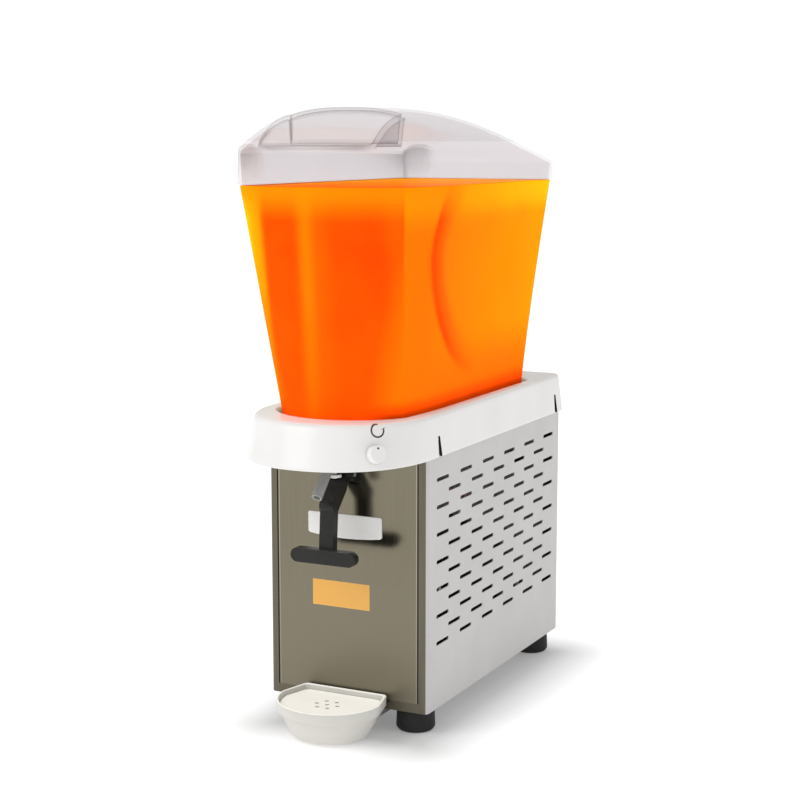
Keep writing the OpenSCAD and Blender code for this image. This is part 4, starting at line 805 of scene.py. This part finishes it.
# The slit walls get black plastic as painted shade.
cover.data.materials.append(FINISH["black_plastic"])
dark = 0
for face in cover.data.polygons:
    x, y, z = (c / MM for c in face.center)
    at_slit = abs(abs(y - mid_y) - SLIT_AT) < SLIT_W / 2 + NEAR_SLIT
    in_slit = at_slit and z < SLIT_TOP + NEAR_SLIT and abs(x) > side_x - BESIDE
    if in_slit and (abs(face.normal.y) > WALL_FACING or face.normal.z < -WALL_FACING):
        face.material_index = 1
        dark += 1
print("dark slit walls:", dark)

# %% [markdown]
# ## Bowl
# The bowl is a deep clear tub with a four millimetre wall. Its rings climb the outside, turn over a
# round rim, come down the inside and close on the round hole for the cooling dome. The flare, the
# creases at the front corners and the hand scoops all come from the outline function.

# %% Bowl shell
FOOT_R, RIM_R, RIM_EASE, WALL_EASE, OUTLET_R, BOWL_HOLE = 5, 1.2, 0.35, 4, 16.3, 64.2
FLOOR_SHARE, FLOOR_IN, OUTLET_LOW, OUTLET_HIGH = 0.02, 3, 3, 8


def bowl_ring(z, inset):
    """A ring of the bowl's wall at a height, pulled in by an inset."""
    return at_height(bowl_outline(max(0, (z - seat_z) / bowl_h), inset, z), z)


def about_dome(ring, radius, z):
    """A circle round the dome's axis with a point for each point of a ring."""
    return dome_circle([math.atan2(y - dome_y, x) for x, y, _ in ring], radius, z)


wall_heights = steps(44, seat_z + FOOT_R + WALL_EASE, rim_z - WALL_EASE)
rings = [bowl_ring(seat_z + FOOT_R * (1 - c), FOOT_R * (1 - s)) for s, c in quarter(7)]
rings += [bowl_ring(z, 0) for z in wall_heights]
rim = [(RIM_R, 0), (RIM_EASE, RIM_EASE), (0, RIM_R)]
rings += [bowl_ring(rim_z - down, inset) for down, inset in rim]
rings += [bowl_ring(rim_z - down, BOWL_WALL - inset) for down, inset in reversed(rim)]
rings += [bowl_ring(z, BOWL_WALL) for z in reversed(wall_heights)]
rings.append(at_height(bowl_outline(FLOOR_SHARE, BOWL_WALL + FLOOR_IN), seat_z + BOWL_WALL))
rings += [about_dome(rings[-1], BOWL_HOLE, seat_z + BOWL_WALL),
          about_dome(rings[0], BOWL_HOLE, seat_z)]
bowl = skin("bowl_shell", rings, closed=True)
outlet = rod((0, tap_y, seat_z - OUTLET_LOW), (0, tap_y, seat_z + OUTLET_HIGH), OUTLET_R)
carve(bowl, "DIFFERENCE", outlet)
smooth(bowl)
stand_in(bowl, "bowl", "clear_bowl", "bowl")

# %% [markdown]
# ## Juice
# The picture shows the bowl full of orange juice, and the juice gives the machine its colour. It is
# one closed body just inside the bowl's wall, hollow over the cooling dome and stirrer. Its light
# and shade are painted into colour bands, soft at their edges: lighter bands, lighter upper sides
# and a paler brim are painted light, and darker bands and the dark foot of the sides painted shade.
# A little of that colour is emitted, also as painted light. Light that has bounced off another
# piece finds a paler juice, so that this light stays in the bowl and doesn't dye the white cover.

# %% Juice colours
RED, DEEP, ORANGE = (0.92, 0.036, 0.0004), (0.94, 0.062, 0.0005), (0.96, 0.125, 0.0008)
AMBER, PALE, BRIM = (0.97, 0.24, 0.001), (0.97, 0.39, 0.003), (0.97, 0.18, 0.001)
RUST, DARK, BOUNCE = (0.93, 0.034, 0.0004), (0.5, 0.03, 0.0004), (0.7, 0.6, 0.5)
# The front bands are painted light and shade: the paler bands are painted light, the red ones
# painted shade.
FRONT_BANDS = [(0.0, PALE), (0.1, AMBER), (0.19, RUST), (0.37, RUST), (0.46, ORANGE),
               (0.54, DEEP), (0.64, RED), (0.86, RED), (0.94, DEEP)]
# The sides are painted dark at their foot as painted shade, and lighter upwards and towards the
# rear as painted light.
NEAR_SIDE = [(0.06, DARK), (0.085, DEEP), (0.13, ORANGE), (0.8, ORANGE), (1.0, AMBER)]
REAR_SIDE = [(0.06, DARK), (0.09, DEEP), (0.15, ORANGE), (0.4, AMBER), (0.85, AMBER), (1.0, PALE)]
CALMING = [(0.0, (0.8,) * 3), (0.3, (0.45,) * 3), (0.6, (0.1,) * 3)]
CRESCENT = [(0.42, (0,) * 3), (0.7, (0.6,) * 3), (0.88, (1,) * 3), (0.985, (0,) * 3)]


def ramp(tree, value, stops):
    """A colour ramp from (place, colour) stops."""
    node = tree.nodes.new("ShaderNodeValToRGB")
    node.color_ramp.interpolation = "EASE"
    while len(node.color_ramp.elements) < len(stops):
        node.color_ramp.elements.new(0.5)
    for element, (place_at, colour) in zip(node.color_ramp.elements, stops):
        element.position = place_at
        element.color = (*colour, 1)
    return fill(tree, node, Fac=value).outputs["Color"]


print("juice colour bands:", len(FRONT_BANDS))

# %% Juice finish
# The juice emits a little of its own colour as painted light.
JUICE_GLOW, HALF_WIDE, LOW_Z, HIGH_Z = 0.38, 100, 350, 615
SIDE_START_Y, SIDE_END_Y, BRIM_LOW, BRIM_HIGH = front_y + 20, rear_y - 80, 580, 608
EDGE_Y, EDGE_LONG, EDGE_Z, EDGE_TALL, EDGE_POWER = front_y + 155, 145, 545, 156, 1.6
FADE_AHEAD, FADE_BEHIND = 70, 10


def scoop_edge(tree, y, z):
    """Mask of the dark crescent, a painted shade where the wall turns into the scoop, sharp on its
    outer side.
    """
    height = maths(tree, "ABSOLUTE", maths(tree, "SUBTRACT", z, EDGE_Z * MM))
    shares = (spread(tree, y, 1, 0, (EDGE_Y - EDGE_LONG) * MM, EDGE_Y * MM),
              spread(tree, height, 0, 1, 0, EDGE_TALL * MM))
    total = maths(tree, "ADD", *(maths(tree, "POWER", share, EDGE_POWER) for share in shares))
    fading = spread(tree, y, 1, 0, (EDGE_Y - FADE_AHEAD) * MM, (EDGE_Y + FADE_BEHIND) * MM)
    return maths(tree, "MULTIPLY", ramp(tree, total, CRESCENT), fading)


def juice_finish():
    material, tree, shader, _ = blank("orange_juice")
    x, y, z = axes(tree, place_on(tree))
    bands = ramp(tree, spread(tree, x, 0, 1, -HALF_WIDE * MM, HALF_WIDE * MM), FRONT_BANDS)
    rising = spread(tree, z, 0, 1, LOW_Z * MM, HIGH_Z * MM)
    front = blend(tree, ramp(tree, rising, CALMING), bands, DEEP)
    back = spread(tree, y, 0, 1, SIDE_START_Y * MM, SIDE_END_Y * MM)
    side = blend(tree, back, ramp(tree, rising, NEAR_SIDE), ramp(tree, rising, REAR_SIDE))
    flank = maths(tree, "ABSOLUTE", axes(tree, place_on(tree, "Normal"))[0])
    colour = blend(tree, spread(tree, flank, 0, 1, 0.55, 0.8), front, side)
    on_flank = spread(tree, flank, 0, 1, 0.85, 0.93)
    colour = blend(tree, maths(tree, "MULTIPLY", scoop_edge(tree, y, z), on_flank), colour, RED)
    # The brim is painted paler, a painted light.
    brim = spread(tree, z, 0, 0.8, BRIM_LOW * MM, BRIM_HIGH * MM)
    colour = blend(tree, brim, colour, blend(tree, back, BRIM, PALE))
    mottle = place(tree, MOTTLE, Cloud_Scale=14, Grain_Scale=600)
    colour = blend(tree, spread(tree, mottle["Cloud"], 0, 0.2), colour, ORANGE)
    rays = tree.nodes.new("ShaderNodeLightPath")
    bounced = spread(tree, rays.outputs["Diffuse Depth"], 0, 1, 0, 1)
    fill(tree, shader, Base_Color=blend(tree, bounced, colour, BOUNCE),
         Roughness=spread(tree, mottle["Grain"], 0.25, 0.4), Specular_IOR_Level=0.0,
         Normal=relief(tree, mottle["Cloud"], 0.05, 1),
         Emission_Color=blend(tree, bounced, colour, (0, 0, 0)), Emission_Strength=JUICE_GLOW)
    return material


FINISH["orange_juice"] = juice_finish()
print("juice finish ready")

# %% Juice body
JUICE_GAP, HOLLOW_R, HOLLOW_TOP = 3.4, 66.0, 456
FLOOR_GAP, JUICE_SHARE, WALL_START = 0.6, 0.03, 10
LID_SKIRT, BRIM_DROP, FILM_TOP, FILM_FOOT, INSIDE_SKIRT = 9.2, 1, 4.4, 5.8, 9.5
TOP_DROP, TOP_IN, TOP_R = 2, 11, 1
juice_low, juice_top = seat_z + BOWL_WALL + FLOOR_GAP, rim_z - TOP_DROP
skirt_low = rim_z - LID_SKIRT
floor_ring = at_height(bowl_outline(JUICE_SHARE, JUICE_GAP + FLOOR_IN), juice_low)
hollow = about_dome(floor_ring, HOLLOW_R, juice_low)
rings = [about_dome(hollow, HOLLOW_R, HOLLOW_TOP), hollow, floor_ring]
rings += [bowl_ring(z, JUICE_GAP) for z in steps(40, seat_z + WALL_START, skirt_low)]
rings += [bowl_ring(z, JUICE_GAP) for z in steps(4, skirt_low, rim_z - BRIM_DROP)[1:]]
rings += [bowl_ring(rim_z - BRIM_DROP, FILM_TOP), bowl_ring(skirt_low, FILM_FOOT)]
rings += [bowl_ring(skirt_low, INSIDE_SKIRT), bowl_ring(juice_top - TOP_R, INSIDE_SKIRT)]
rings.append(bowl_ring(juice_top, TOP_IN))
juice = skin("juice", rings, caps=True)
smooth(juice)
attach(juice, "bowl", "orange_juice")

# %% [markdown]
# ## Lid
# The lid is a clear arched hood with upright sides, and a grip pocket is pressed into its front. A
# sheet of quads is laid over the outline with its lines crowded along the pocket's walls, raised to
# the arch and lowered to the pocket floor, then joined to an inner sheet by the skirt. Rounded
# pocket edges come from the soft step, with no bevel needed.

# %% Lid surface
LID_WALL, LID_LEAN, ARCH_POWER, RIDGE_H, RIDGE_DROP = 3, 1, 2.4, 84, 60
SIDE_FRONT, SIDE_REAR, FRONT_R, FRONT_POWER, REAR_R = 37, 20, 72, 1.6, 40
POCKET_HALF, POCKET_FLOOR, POCKET_SOFT = 67.5, 661, 4
pocket_y, fall_y = front_y, front_y + 80
rim_front, rim_rear = front_y - NOSE_AHEAD[1], rear_y - REAR_IN[1]
bow_half, bow_rise = rim_half - CREASE_IN[1], NOSE_AHEAD[1] - CREASE_AHEAD[1]
bow_r = (bow_half ** 2 + bow_rise ** 2) / (2 * bow_rise)


def shoulder(distance, radius, power=2.0):
    t = min(1, max(0, 1 - distance / radius))
    return (1 - t ** power) ** (1 / power)


def lid_height(x, y, inset, grow):
    """Height of the lid over one point, with the pocket pressed in."""
    side = mix(SIDE_FRONT, SIDE_REAR, (y - rim_front) / (rim_rear - rim_front))
    ridge = RIDGE_H
    if y > fall_y:
        ridge -= RIDGE_DROP * ((y - fall_y) / (rim_rear - fall_y)) ** 2
    arch = max(0, 1 - min(1, abs(x) / (rim_half - inset)) ** ARCH_POWER) ** (1 / ARCH_POWER)
    near = rim_front + bow_r - math.sqrt(bow_r ** 2 - x * x) + inset
    crown = (ridge - side) * arch * shoulder(y - near, FRONT_R, FRONT_POWER)
    high = rim_z + side + crown * shoulder(rim_rear - inset - y, REAR_R)
    pressed = smoothstep((POCKET_HALF + grow - abs(x)) / POCKET_SOFT + 0.5)
    pressed *= smoothstep((pocket_y + grow - y) / POCKET_SOFT + 0.5)
    return mix(high, min(high, POCKET_FLOOR), pressed)


print("lid ridge at", round(lid_height(0, fall_y, LID_LEAN, 0)), "mm")

# %% Lid sheets
WALL_ZONE, LEAST_FRONT, TINY = 4, 6, 1e-4


def reach_at(outline, x):
    """Lowest and highest y of an outline on a line of equal x."""
    ys = []
    for (ax, ay), (bx, by) in zip(outline, outline[1:] + outline[:1]):
        if (ax - x) * (bx - x) <= 0 and ax != bx:
            ys.append(mix(ay, by, (x - ax) / (bx - ax)))
    return min(ys), max(ys)


def eased(count, low, high):
    """Values between two ends, crowded towards the second."""
    return [mix(low, high, math.sin(math.pi / 2 * s)) for s in steps(count)]


def lid_sheet(inset, drop, grow):
    """Columns of points over the lid, from front to rear, for the outer or the inner face."""
    outline = bowl_outline(1, inset)
    half = max(x for x, _ in outline)
    wall = POCKET_HALF + grow
    right = steps(15, 0, wall - WALL_ZONE) + steps(9, wall - WALL_ZONE, wall + WALL_ZONE)[1:]
    right += eased(16, wall + WALL_ZONE, half)[1:]
    columns = []
    for x in [-x for x in reversed(right[1:])] + right:
        near, far = reach_at(outline, max(TINY - half, min(half - TINY, x)))
        stop = max(pocket_y + grow - WALL_ZONE, near + LEAST_FRONT)
        ys = eased(16, stop, near)[::-1] + steps(9, stop, stop + 2 * WALL_ZONE)[1:]
        ys += eased(34, stop + 2 * WALL_ZONE, far)[1:]
        columns.append([(x, y, lid_height(x, y, inset, grow) - drop) for y in ys])
    return columns


outer, inner = lid_sheet(LID_LEAN, 0, 0), lid_sheet(LID_LEAN + LID_WALL, LID_WALL, LID_WALL)
print("lid sheet", len(outer), "by", len(outer[0]))


# %% Borders of the lid sheets
def border(columns):
    """The outer loop of a sheet, counter-clockwise from its left front corner."""
    front = [c[0] for c in columns]
    back = [c[-1] for c in reversed(columns)]
    return front + columns[-1][1:-1] + back + columns[0][-2:0:-1]


def grown(loop, distance, z):
    """A loop moved outwards in plan by a distance, at another height."""
    moved = []
    for i, (x, y, _) in enumerate(loop):
        (px, py, _), (nx, ny, _) = loop[i - 1], loop[(i + 1) % len(loop)]
        dx, dy = nx - px, ny - py
        size = math.hypot(dx, dy) or 1
        moved.append((x + dy / size * distance, y - dx / size * distance, z))
    return moved


def sheet_faces(ids, flip):
    """Quads between columns of point numbers."""
    faces = []
    for one, two in zip(ids, ids[1:]):
        for r in range(len(one) - 1):
            quad = (one[r], two[r], two[r + 1], one[r + 1])
            faces.append(quad[::-1] if flip else quad)
    return faces


print("border has", len(border(outer)), "points")

# %% Lid shell
SKIRT_DEEP, SKIRT_IN, SKIRT_TAPER, SKIRT_BACK = 8, 4.6, 1.6, 1.6
HEM_GAP, HEM_TALL, HEM_INSIDE = 0.1, 24, 1
outer_loop, inner_loop = border(outer), border(inner)
hem = [grown(outer_loop, LID_LEAN * share, rim_z + HEM_GAP + (1 - share) * HEM_TALL)
       for share in (0.5, 0.8, 1.0)]
hem.append(grown(outer_loop, LID_LEAN - SKIRT_IN, rim_z + HEM_GAP))
hem.append(grown(outer_loop, LID_LEAN - SKIRT_IN - SKIRT_TAPER, rim_z - SKIRT_DEEP))
hem += [grown(inner_loop, -SKIRT_BACK, z) for z in (rim_z - SKIRT_DEEP, rim_z + HEM_INSIDE)]
points, sheets = [], []
for columns in (outer, inner):
    sheets.append([])
    for column in columns:
        sheets[-1].append(list(range(len(points), len(points) + len(column))))
        points += column
faces = sheet_faces(sheets[0], False) + sheet_faces(sheets[1], True)
loops = [border(sheets[0])]
for ring in hem:
    loops.append(list(range(len(points), len(points) + len(ring))))
    points += ring
loops.append(border(sheets[1]))
for low, high in zip(loops, loops[1:]):
    for i in range(len(low)):
        j = (i + 1) % len(low)
        faces.append((low[i], high[i], high[j], low[j]))
lid = mesh_piece("lid_shell", in_metres(points), faces)
smooth(lid, 40)
stand_in(lid, "lid", "clear_lid", "lid")

# %% [markdown]
# ## Masks on the lid
# Where clear sheet folds, it shows as a grey line, and the pocket's upright walls look clearer than
# the hood; the grey is painted shade and the clearer walls are painted light. Both could be painted
# by hand, but the angle between neighbouring faces finds the folds by itself. The masks are stored
# on the points of the mesh, where the clear finish reads them.

# %% Masks on the lid
FOLD_LOW, FOLD_HIGH, FOLD_END, FOLD_FADE = 9, 24, front_y + 90, 100
FOLD_CLEAR, FOLD_RISE, NEAR_WALL = 4, 6, 6


def on_pocket_wall(x, y, z):
    beside = abs(abs(x) - POCKET_HALF) < NEAR_WALL and y < pocket_y + NEAR_WALL
    behind = abs(y - pocket_y) < NEAR_WALL and abs(x) < POCKET_HALF + NEAR_WALL
    return z > POCKET_FLOOR - LID_WALL and (beside or behind)


# The fold mask carries painted shade, the wall mask painted light.
fold_shade = lid.data.attributes.new("fold_shade", "FLOAT", "POINT")
wall = lid.data.attributes.new("wall", "FLOAT", "POINT")
sheet = bmesh.new()
sheet.from_mesh(lid.data)
for point in sheet.verts:
    x, y, z = (c / MM for c in point.co)
    turn = max(math.degrees(side.calc_face_angle(0)) for side in point.link_edges)
    shown = smoothstep((z - rim_z - FOLD_CLEAR) / FOLD_RISE)
    shown *= smoothstep((FOLD_END - y) / FOLD_FADE)
    fold_shade.data[point.index].value = shown * smoothstep((turn - FOLD_LOW) / (FOLD_HIGH - FOLD_LOW))
    wall.data[point.index].value = float(on_pocket_wall(x, y, z))
sheet.free()
for mask in (fold_shade, wall):
    print(mask.name, "mask on", sum(p.value > 0.5 for p in mask.data), "points")

# %% [markdown]
# ## Drip tray
# The tray is an ivory moulding that hangs on two tongues, which run in guides under the front. A
# tall lip runs round it, the sides pull in towards the foot, and a step inside carries the drip
# plate, which stays a CAD piece. The plan outline is drawn once and pulled in ring by ring, outside
# and then inside.

# %% Tray shell
TRAY_HALF, TRAY_BACK_HALF, TRAY_BOW, TRAY_CORNER, TRAY_WALL = 62, 54, 60, 5, 3
TONGUE_IN, TONGUE_OUT, TONGUE_T, TONGUE_DROP = 20, 36, 3, 7.5
tray_mid, tray_back = front_y - 40, front_y - 3.5
tongue_z = edge("base_pan", 0, 2) - TONGUE_DROP
# Heights with the inset of each ring, and inside also with the inset at the back.
TRAY_OUTSIDE = [(3, 21), (3.5, 19), (5, 17.2), (8, 15), (15, 11.4), (22.5, 8), (28, 6),
                (31.4, 4.8), (32, 4.2), (32.2, 1.6), (32.6, 0.9), (33.4, 0.5), (38, 0.3),
                (43, 0.05), (43.8, 0.3), (44.3, 0.8), (44.5, 1.4)]
TRAY_INSIDE = [(44.5, 1.9, 1.9), (44.2, 2.5, 2.5), (43.6, 2.9, 2.9), (42.6, 3.1, 3),
               (37.1, 3.9, 3), (36.6, 4.3, 3.3), (36.5, 5, 4), (36.5, 6.8, 5.4), (36.1, 7.4, 5.9),
               (35.2, 7.8, 6.1), (24.5, 12, 7), (15, 17, 9.6), (11.4, 19, 11), (10, 22, 14)]


def tray_ring(z, inset, back_in=0):
    """A ring of the tray at a height, pulled in all round and at the back."""
    bow = [((TRAY_HALF - inset) * math.cos(a), tray_mid + (TRAY_BOW - inset) * math.sin(a))
           for a in steps(65, math.pi, 2 * math.pi)]
    corner = rear_corner(TRAY_BACK_HALF - inset, tray_back - back_in, TRAY_CORNER, 6)
    return at_height(bow + corner + mirrored(corner), z)


def tongue(left, right):
    """One of the flat tongues at the tray's back."""
    near, far = tray_back - TRAY_WALL / 2, edge("drip_tray", 1, 1)
    outline = [(left, near), (right, near), (right, far), (left, far)]
    ends = [at_height(outline, z) for z in (tongue_z, tongue_z + TONGUE_T)]
    return skin("tongue", ends, caps=True)


rings = [tray_ring(*ring) for ring in TRAY_OUTSIDE + TRAY_INSIDE]
tray = skin("tray_shell", rings, caps=True)
carve(tray, "UNION", tongue(-TONGUE_OUT, -TONGUE_IN))
carve(tray, "UNION", tongue(TONGUE_IN, TONGUE_OUT))
smooth(tray)
stand_in(tray, "tray", "ivory_plastic", "drip_tray")

# %% [markdown]
# ## Bare label plates
# The front carries a white plate with a bowed lower edge behind the lever, and an orange film lower
# down. Both are left bare here. Each is an outline with round corners, raised a little from the
# panel, so that it catches light along its edge.

# %% Plates on the front panel
PLATE_EDGE = [(0.7, 1.0), (0.93, 0.996), (1.0, 0.99)]
PLATE_GAP = 0.02


def plate(name, outline, lift, look):
    """A thin raised plate on the front panel from an outline of (x, z) points."""
    mid_x, mid_z = (sum(values) / len(outline) for values in zip(*outline))
    rings = []
    for out, shrink in [(PLATE_GAP, 1.0)] + [(lift * share, size) for share, size in PLATE_EDGE]:
        rings.append([(mix(mid_x, x, shrink), front_y - out, mix(mid_z, z, shrink))
                      for x, z in outline])
    piece = skin(name, rings, caps=True)
    smooth(piece)
    attach(piece, "cabinet", look)


def rounded(left, right, low, high, radius, sag=0.0):
    """Outline of a plate with round corners and a lower edge that may sag in its middle."""
    points = [(x, low - sag * (1 - ((2 * x - left - right) / (right - left)) ** 2))
              for x in steps(25, left + radius, right - radius)]
    for cx, cz, start in ((right - radius, low + radius, 270), (right - radius, high - radius, 0),
                          (left + radius, high - radius, 90), (left + radius, low + radius, 180)):
        for a in map(math.radians, steps(7, start, start + 90)[1:]):
            points.append((cx + radius * math.cos(a), cz + radius * math.sin(a)))
    return points[:-1]


add_finish("label_white", [(0.76, 0.75, 0.73), (0.8, 0.79, 0.77)], (0.25, 0.35),
           (0.86, 0.85, 0.84), dust=0.0)
add_finish("orange_film", [(0.78, 0.39, 0.065), (0.82, 0.43, 0.085)], (0.3, 0.42),
           (0.85, 0.55, 0.2), dust=0.0)
plate("label_plate", rounded(-49, 45, 223, 247.5, 2.5, sag=3.5), 1.2, "label_white")
plate("label_film", rounded(-44, 29, 138.5, 168.5, 0.8), 0.3, "orange_film")

# %% [markdown]
# ## Printed marks
# A circular arrow is printed above the knob, and the knob has a painted pointer. A print has no
# thickness to speak of, so each mark is a thin mesh just above its surface. The arrow's points are
# dropped onto the curved cover along a straight line, as a stamp would press them.

# %% Arrow above the knob
MARK_AT, MARK_R, MARK_W, INK_LIFT = Vector((70.6, front_y - 66.5, 358)), 7.0, 1.8, 0.12
ARC_START, ARC_END, ARC_STEPS, HEAD_HALF, HEAD_LONG, DROP_FROM = 75, 375, 40, 3.2, 4.6, 30
add_finish("print_ink", [(0.03, 0.03, 0.032), (0.05, 0.05, 0.05)], (0.45, 0.6),
           (0.09, 0.09, 0.09), dust=0.0)
mark_right = Vector((-knob_way.y, knob_way.x, 0)).normalized()
mark_up = knob_way.cross(mark_right)


def over(centre, right, up, lift):
    """A point beside a centre, seen along the knob's direction, in metres."""
    return (centre + mark_right * right + mark_up * up + knob_way * lift) * MM


flat, faces = [], []
for a in map(math.radians, steps(ARC_STEPS + 1, ARC_START, ARC_END)):
    for r in (MARK_R - MARK_W / 2, MARK_R, MARK_R + MARK_W / 2):
        flat.append((r * math.cos(a), r * math.sin(a)))
for a in (3 * i + k for i in range(ARC_STEPS) for k in (0, 1)):
    faces.append((a, a + 1, a + 4, a + 3))
tip = math.radians(ARC_END)
along, outward = Vector((-math.sin(tip), math.cos(tip))), Vector((math.cos(tip), math.sin(tip)))
first = len(flat)
for aside, ahead in ((-HEAD_HALF, 0), (0, 0), (HEAD_HALF, 0), (0, HEAD_LONG)):
    flat.append(tuple(outward * (MARK_R + aside) + along * ahead))
faces += [(first, first + 1, first + 3), (first + 1, first + 2, first + 3)]
surface = BVHTree.FromObject(cover, bpy.context.evaluated_depsgraph_get())
points = []
for right, up in flat:
    hit, normal, _, _ = surface.ray_cast(over(MARK_AT, right, up, DROP_FROM), -knob_way)
    points.append(hit + normal * INK_LIFT * MM)
arrow = mesh_piece("arrow_mark", points, faces)
smooth(arrow)
attach(arrow, "cabinet", "print_ink")

# %% Pointer on the knob
KNOB_R, KNOB_LONG = 9.3, 11.4
DOT_R, DOT_DEEP, DOT_OUT, DOT_LIFT, DOT_SIDES = 1.3, 0.45, 0.62, 0.08, 24
dot_at = knob_at + knob_way * (KNOB_LONG - DOT_DEEP) + mark_up * DOT_OUT * KNOB_R
points = [over(dot_at, r * math.cos(a), r * math.sin(a), DOT_LIFT) for r in (DOT_R, DOT_R / 2)
          for a in steps(DOT_SIDES + 1, 0, 2 * math.pi)[:-1]]
faces = []
for i in range(DOT_SIDES):
    j = (i + 1) % DOT_SIDES
    faces.append((i, j, DOT_SIDES + j, DOT_SIDES + i))
faces.append(tuple(range(DOT_SIDES, 2 * DOT_SIDES)))
attach(mesh_piece("knob_pointer", points, faces), "knob", "print_ink")

# %% [markdown]
# ## Floor and studio light
# The machine stands in a white studio, lit from the upper left of the camera by a large soft box,
# with light from all round. The floor and the world are both close to white, so that only the soft
# contact shadow shows where the floor is. The floor glows a little, less so beside the cabinet, and
# that weaker glow is a painted shadow that keeps the shadow close to the cabinet.

# %% Floor
# The weaker glow beside the cabinet is a painted shadow; the far glow is the even glow of the open
# floor.
FLOOR, NEAR_GLOW, FAR_GLOW = 200, (0.18, 0.18, 0.18), (0.72, 0.72, 0.72)
FLOOR_DARK, FLOOR_LIGHT = (0.6, 0.6, 0.6), (0.63, 0.63, 0.63)
SHADE_AT, SHADE_HALF, SHADE_END = (0.015, 0.03, 0), (0.09, 0.2, 0), 0.085


def floor_finish():
    material, tree, shader, _ = blank("studio_floor")
    mottle = place(tree, MOTTLE, Cloud_Scale=1.2, Grain_Scale=300)
    away = vector_maths(tree, "ABSOLUTE", vector_maths(tree, "SUBTRACT", place_on(tree), SHADE_AT))
    away = vector_maths(tree, "SUBTRACT", away, SHADE_HALF)
    away = vector_maths(tree, "MAXIMUM", away, (0, 0, 0))
    far = spread(tree, vector_maths(tree, "LENGTH", away, out="Value"), 0, 1, 0, SHADE_END)
    fill(tree, shader, Base_Color=blend(tree, mottle["Cloud"], FLOOR_DARK, FLOOR_LIGHT),
         Roughness=spread(tree, mottle["Grain"], 0.55, 0.7), Specular_IOR_Level=0.1,
         Emission_Color=blend(tree, far, NEAR_GLOW, FAR_GLOW), Emission_Strength=1.0)
    return material


corners = [(-FLOOR, -FLOOR, 0), (FLOOR, -FLOOR, 0), (FLOOR, FLOOR, 0), (-FLOOR, FLOOR, 0)]
floor = mesh_piece("studio_floor", corners, [(0, 1, 2, 3)])
floor.data.materials.append(floor_finish())
print("floor", 2 * FLOOR, "m square")

# %% Light
ROOM_LIGHT, SEEN_LIGHT = 0.70, 1.05
KEY_AT, KEY_AIM, KEY_SIZE, KEY_LIGHT = Vector((-1.4, -2.2, 2.3)), Vector((0, 0, 0.3)), 1.6, 30
scene.view_settings.view_transform = "Standard"
world = bpy.data.worlds.new("studio")
world.use_nodes = True
tree = world.node_tree
rays = tree.nodes.new("ShaderNodeLightPath")
seen = maths(tree, "MAXIMUM", rays.outputs["Is Camera Ray"], rays.outputs["Is Transmission Ray"])
fill(tree, tree.nodes["Background"], Color=(1, 1, 1, 1),
     Strength=spread(tree, seen, ROOM_LIGHT, SEEN_LIGHT, 0, 1))
scene.world = world

lamp = bpy.data.lights.new("key_light", "AREA")
lamp.shape, lamp.size, lamp.energy = "SQUARE", KEY_SIZE, KEY_LIGHT
key_light = bpy.data.objects.new("key_light", lamp)
key_light.location = KEY_AT
key_light.rotation_euler = (KEY_AIM - KEY_AT).to_track_quat("-Z", "Y").to_euler()
scene.collection.objects.link(key_light)
print("world and key light set")
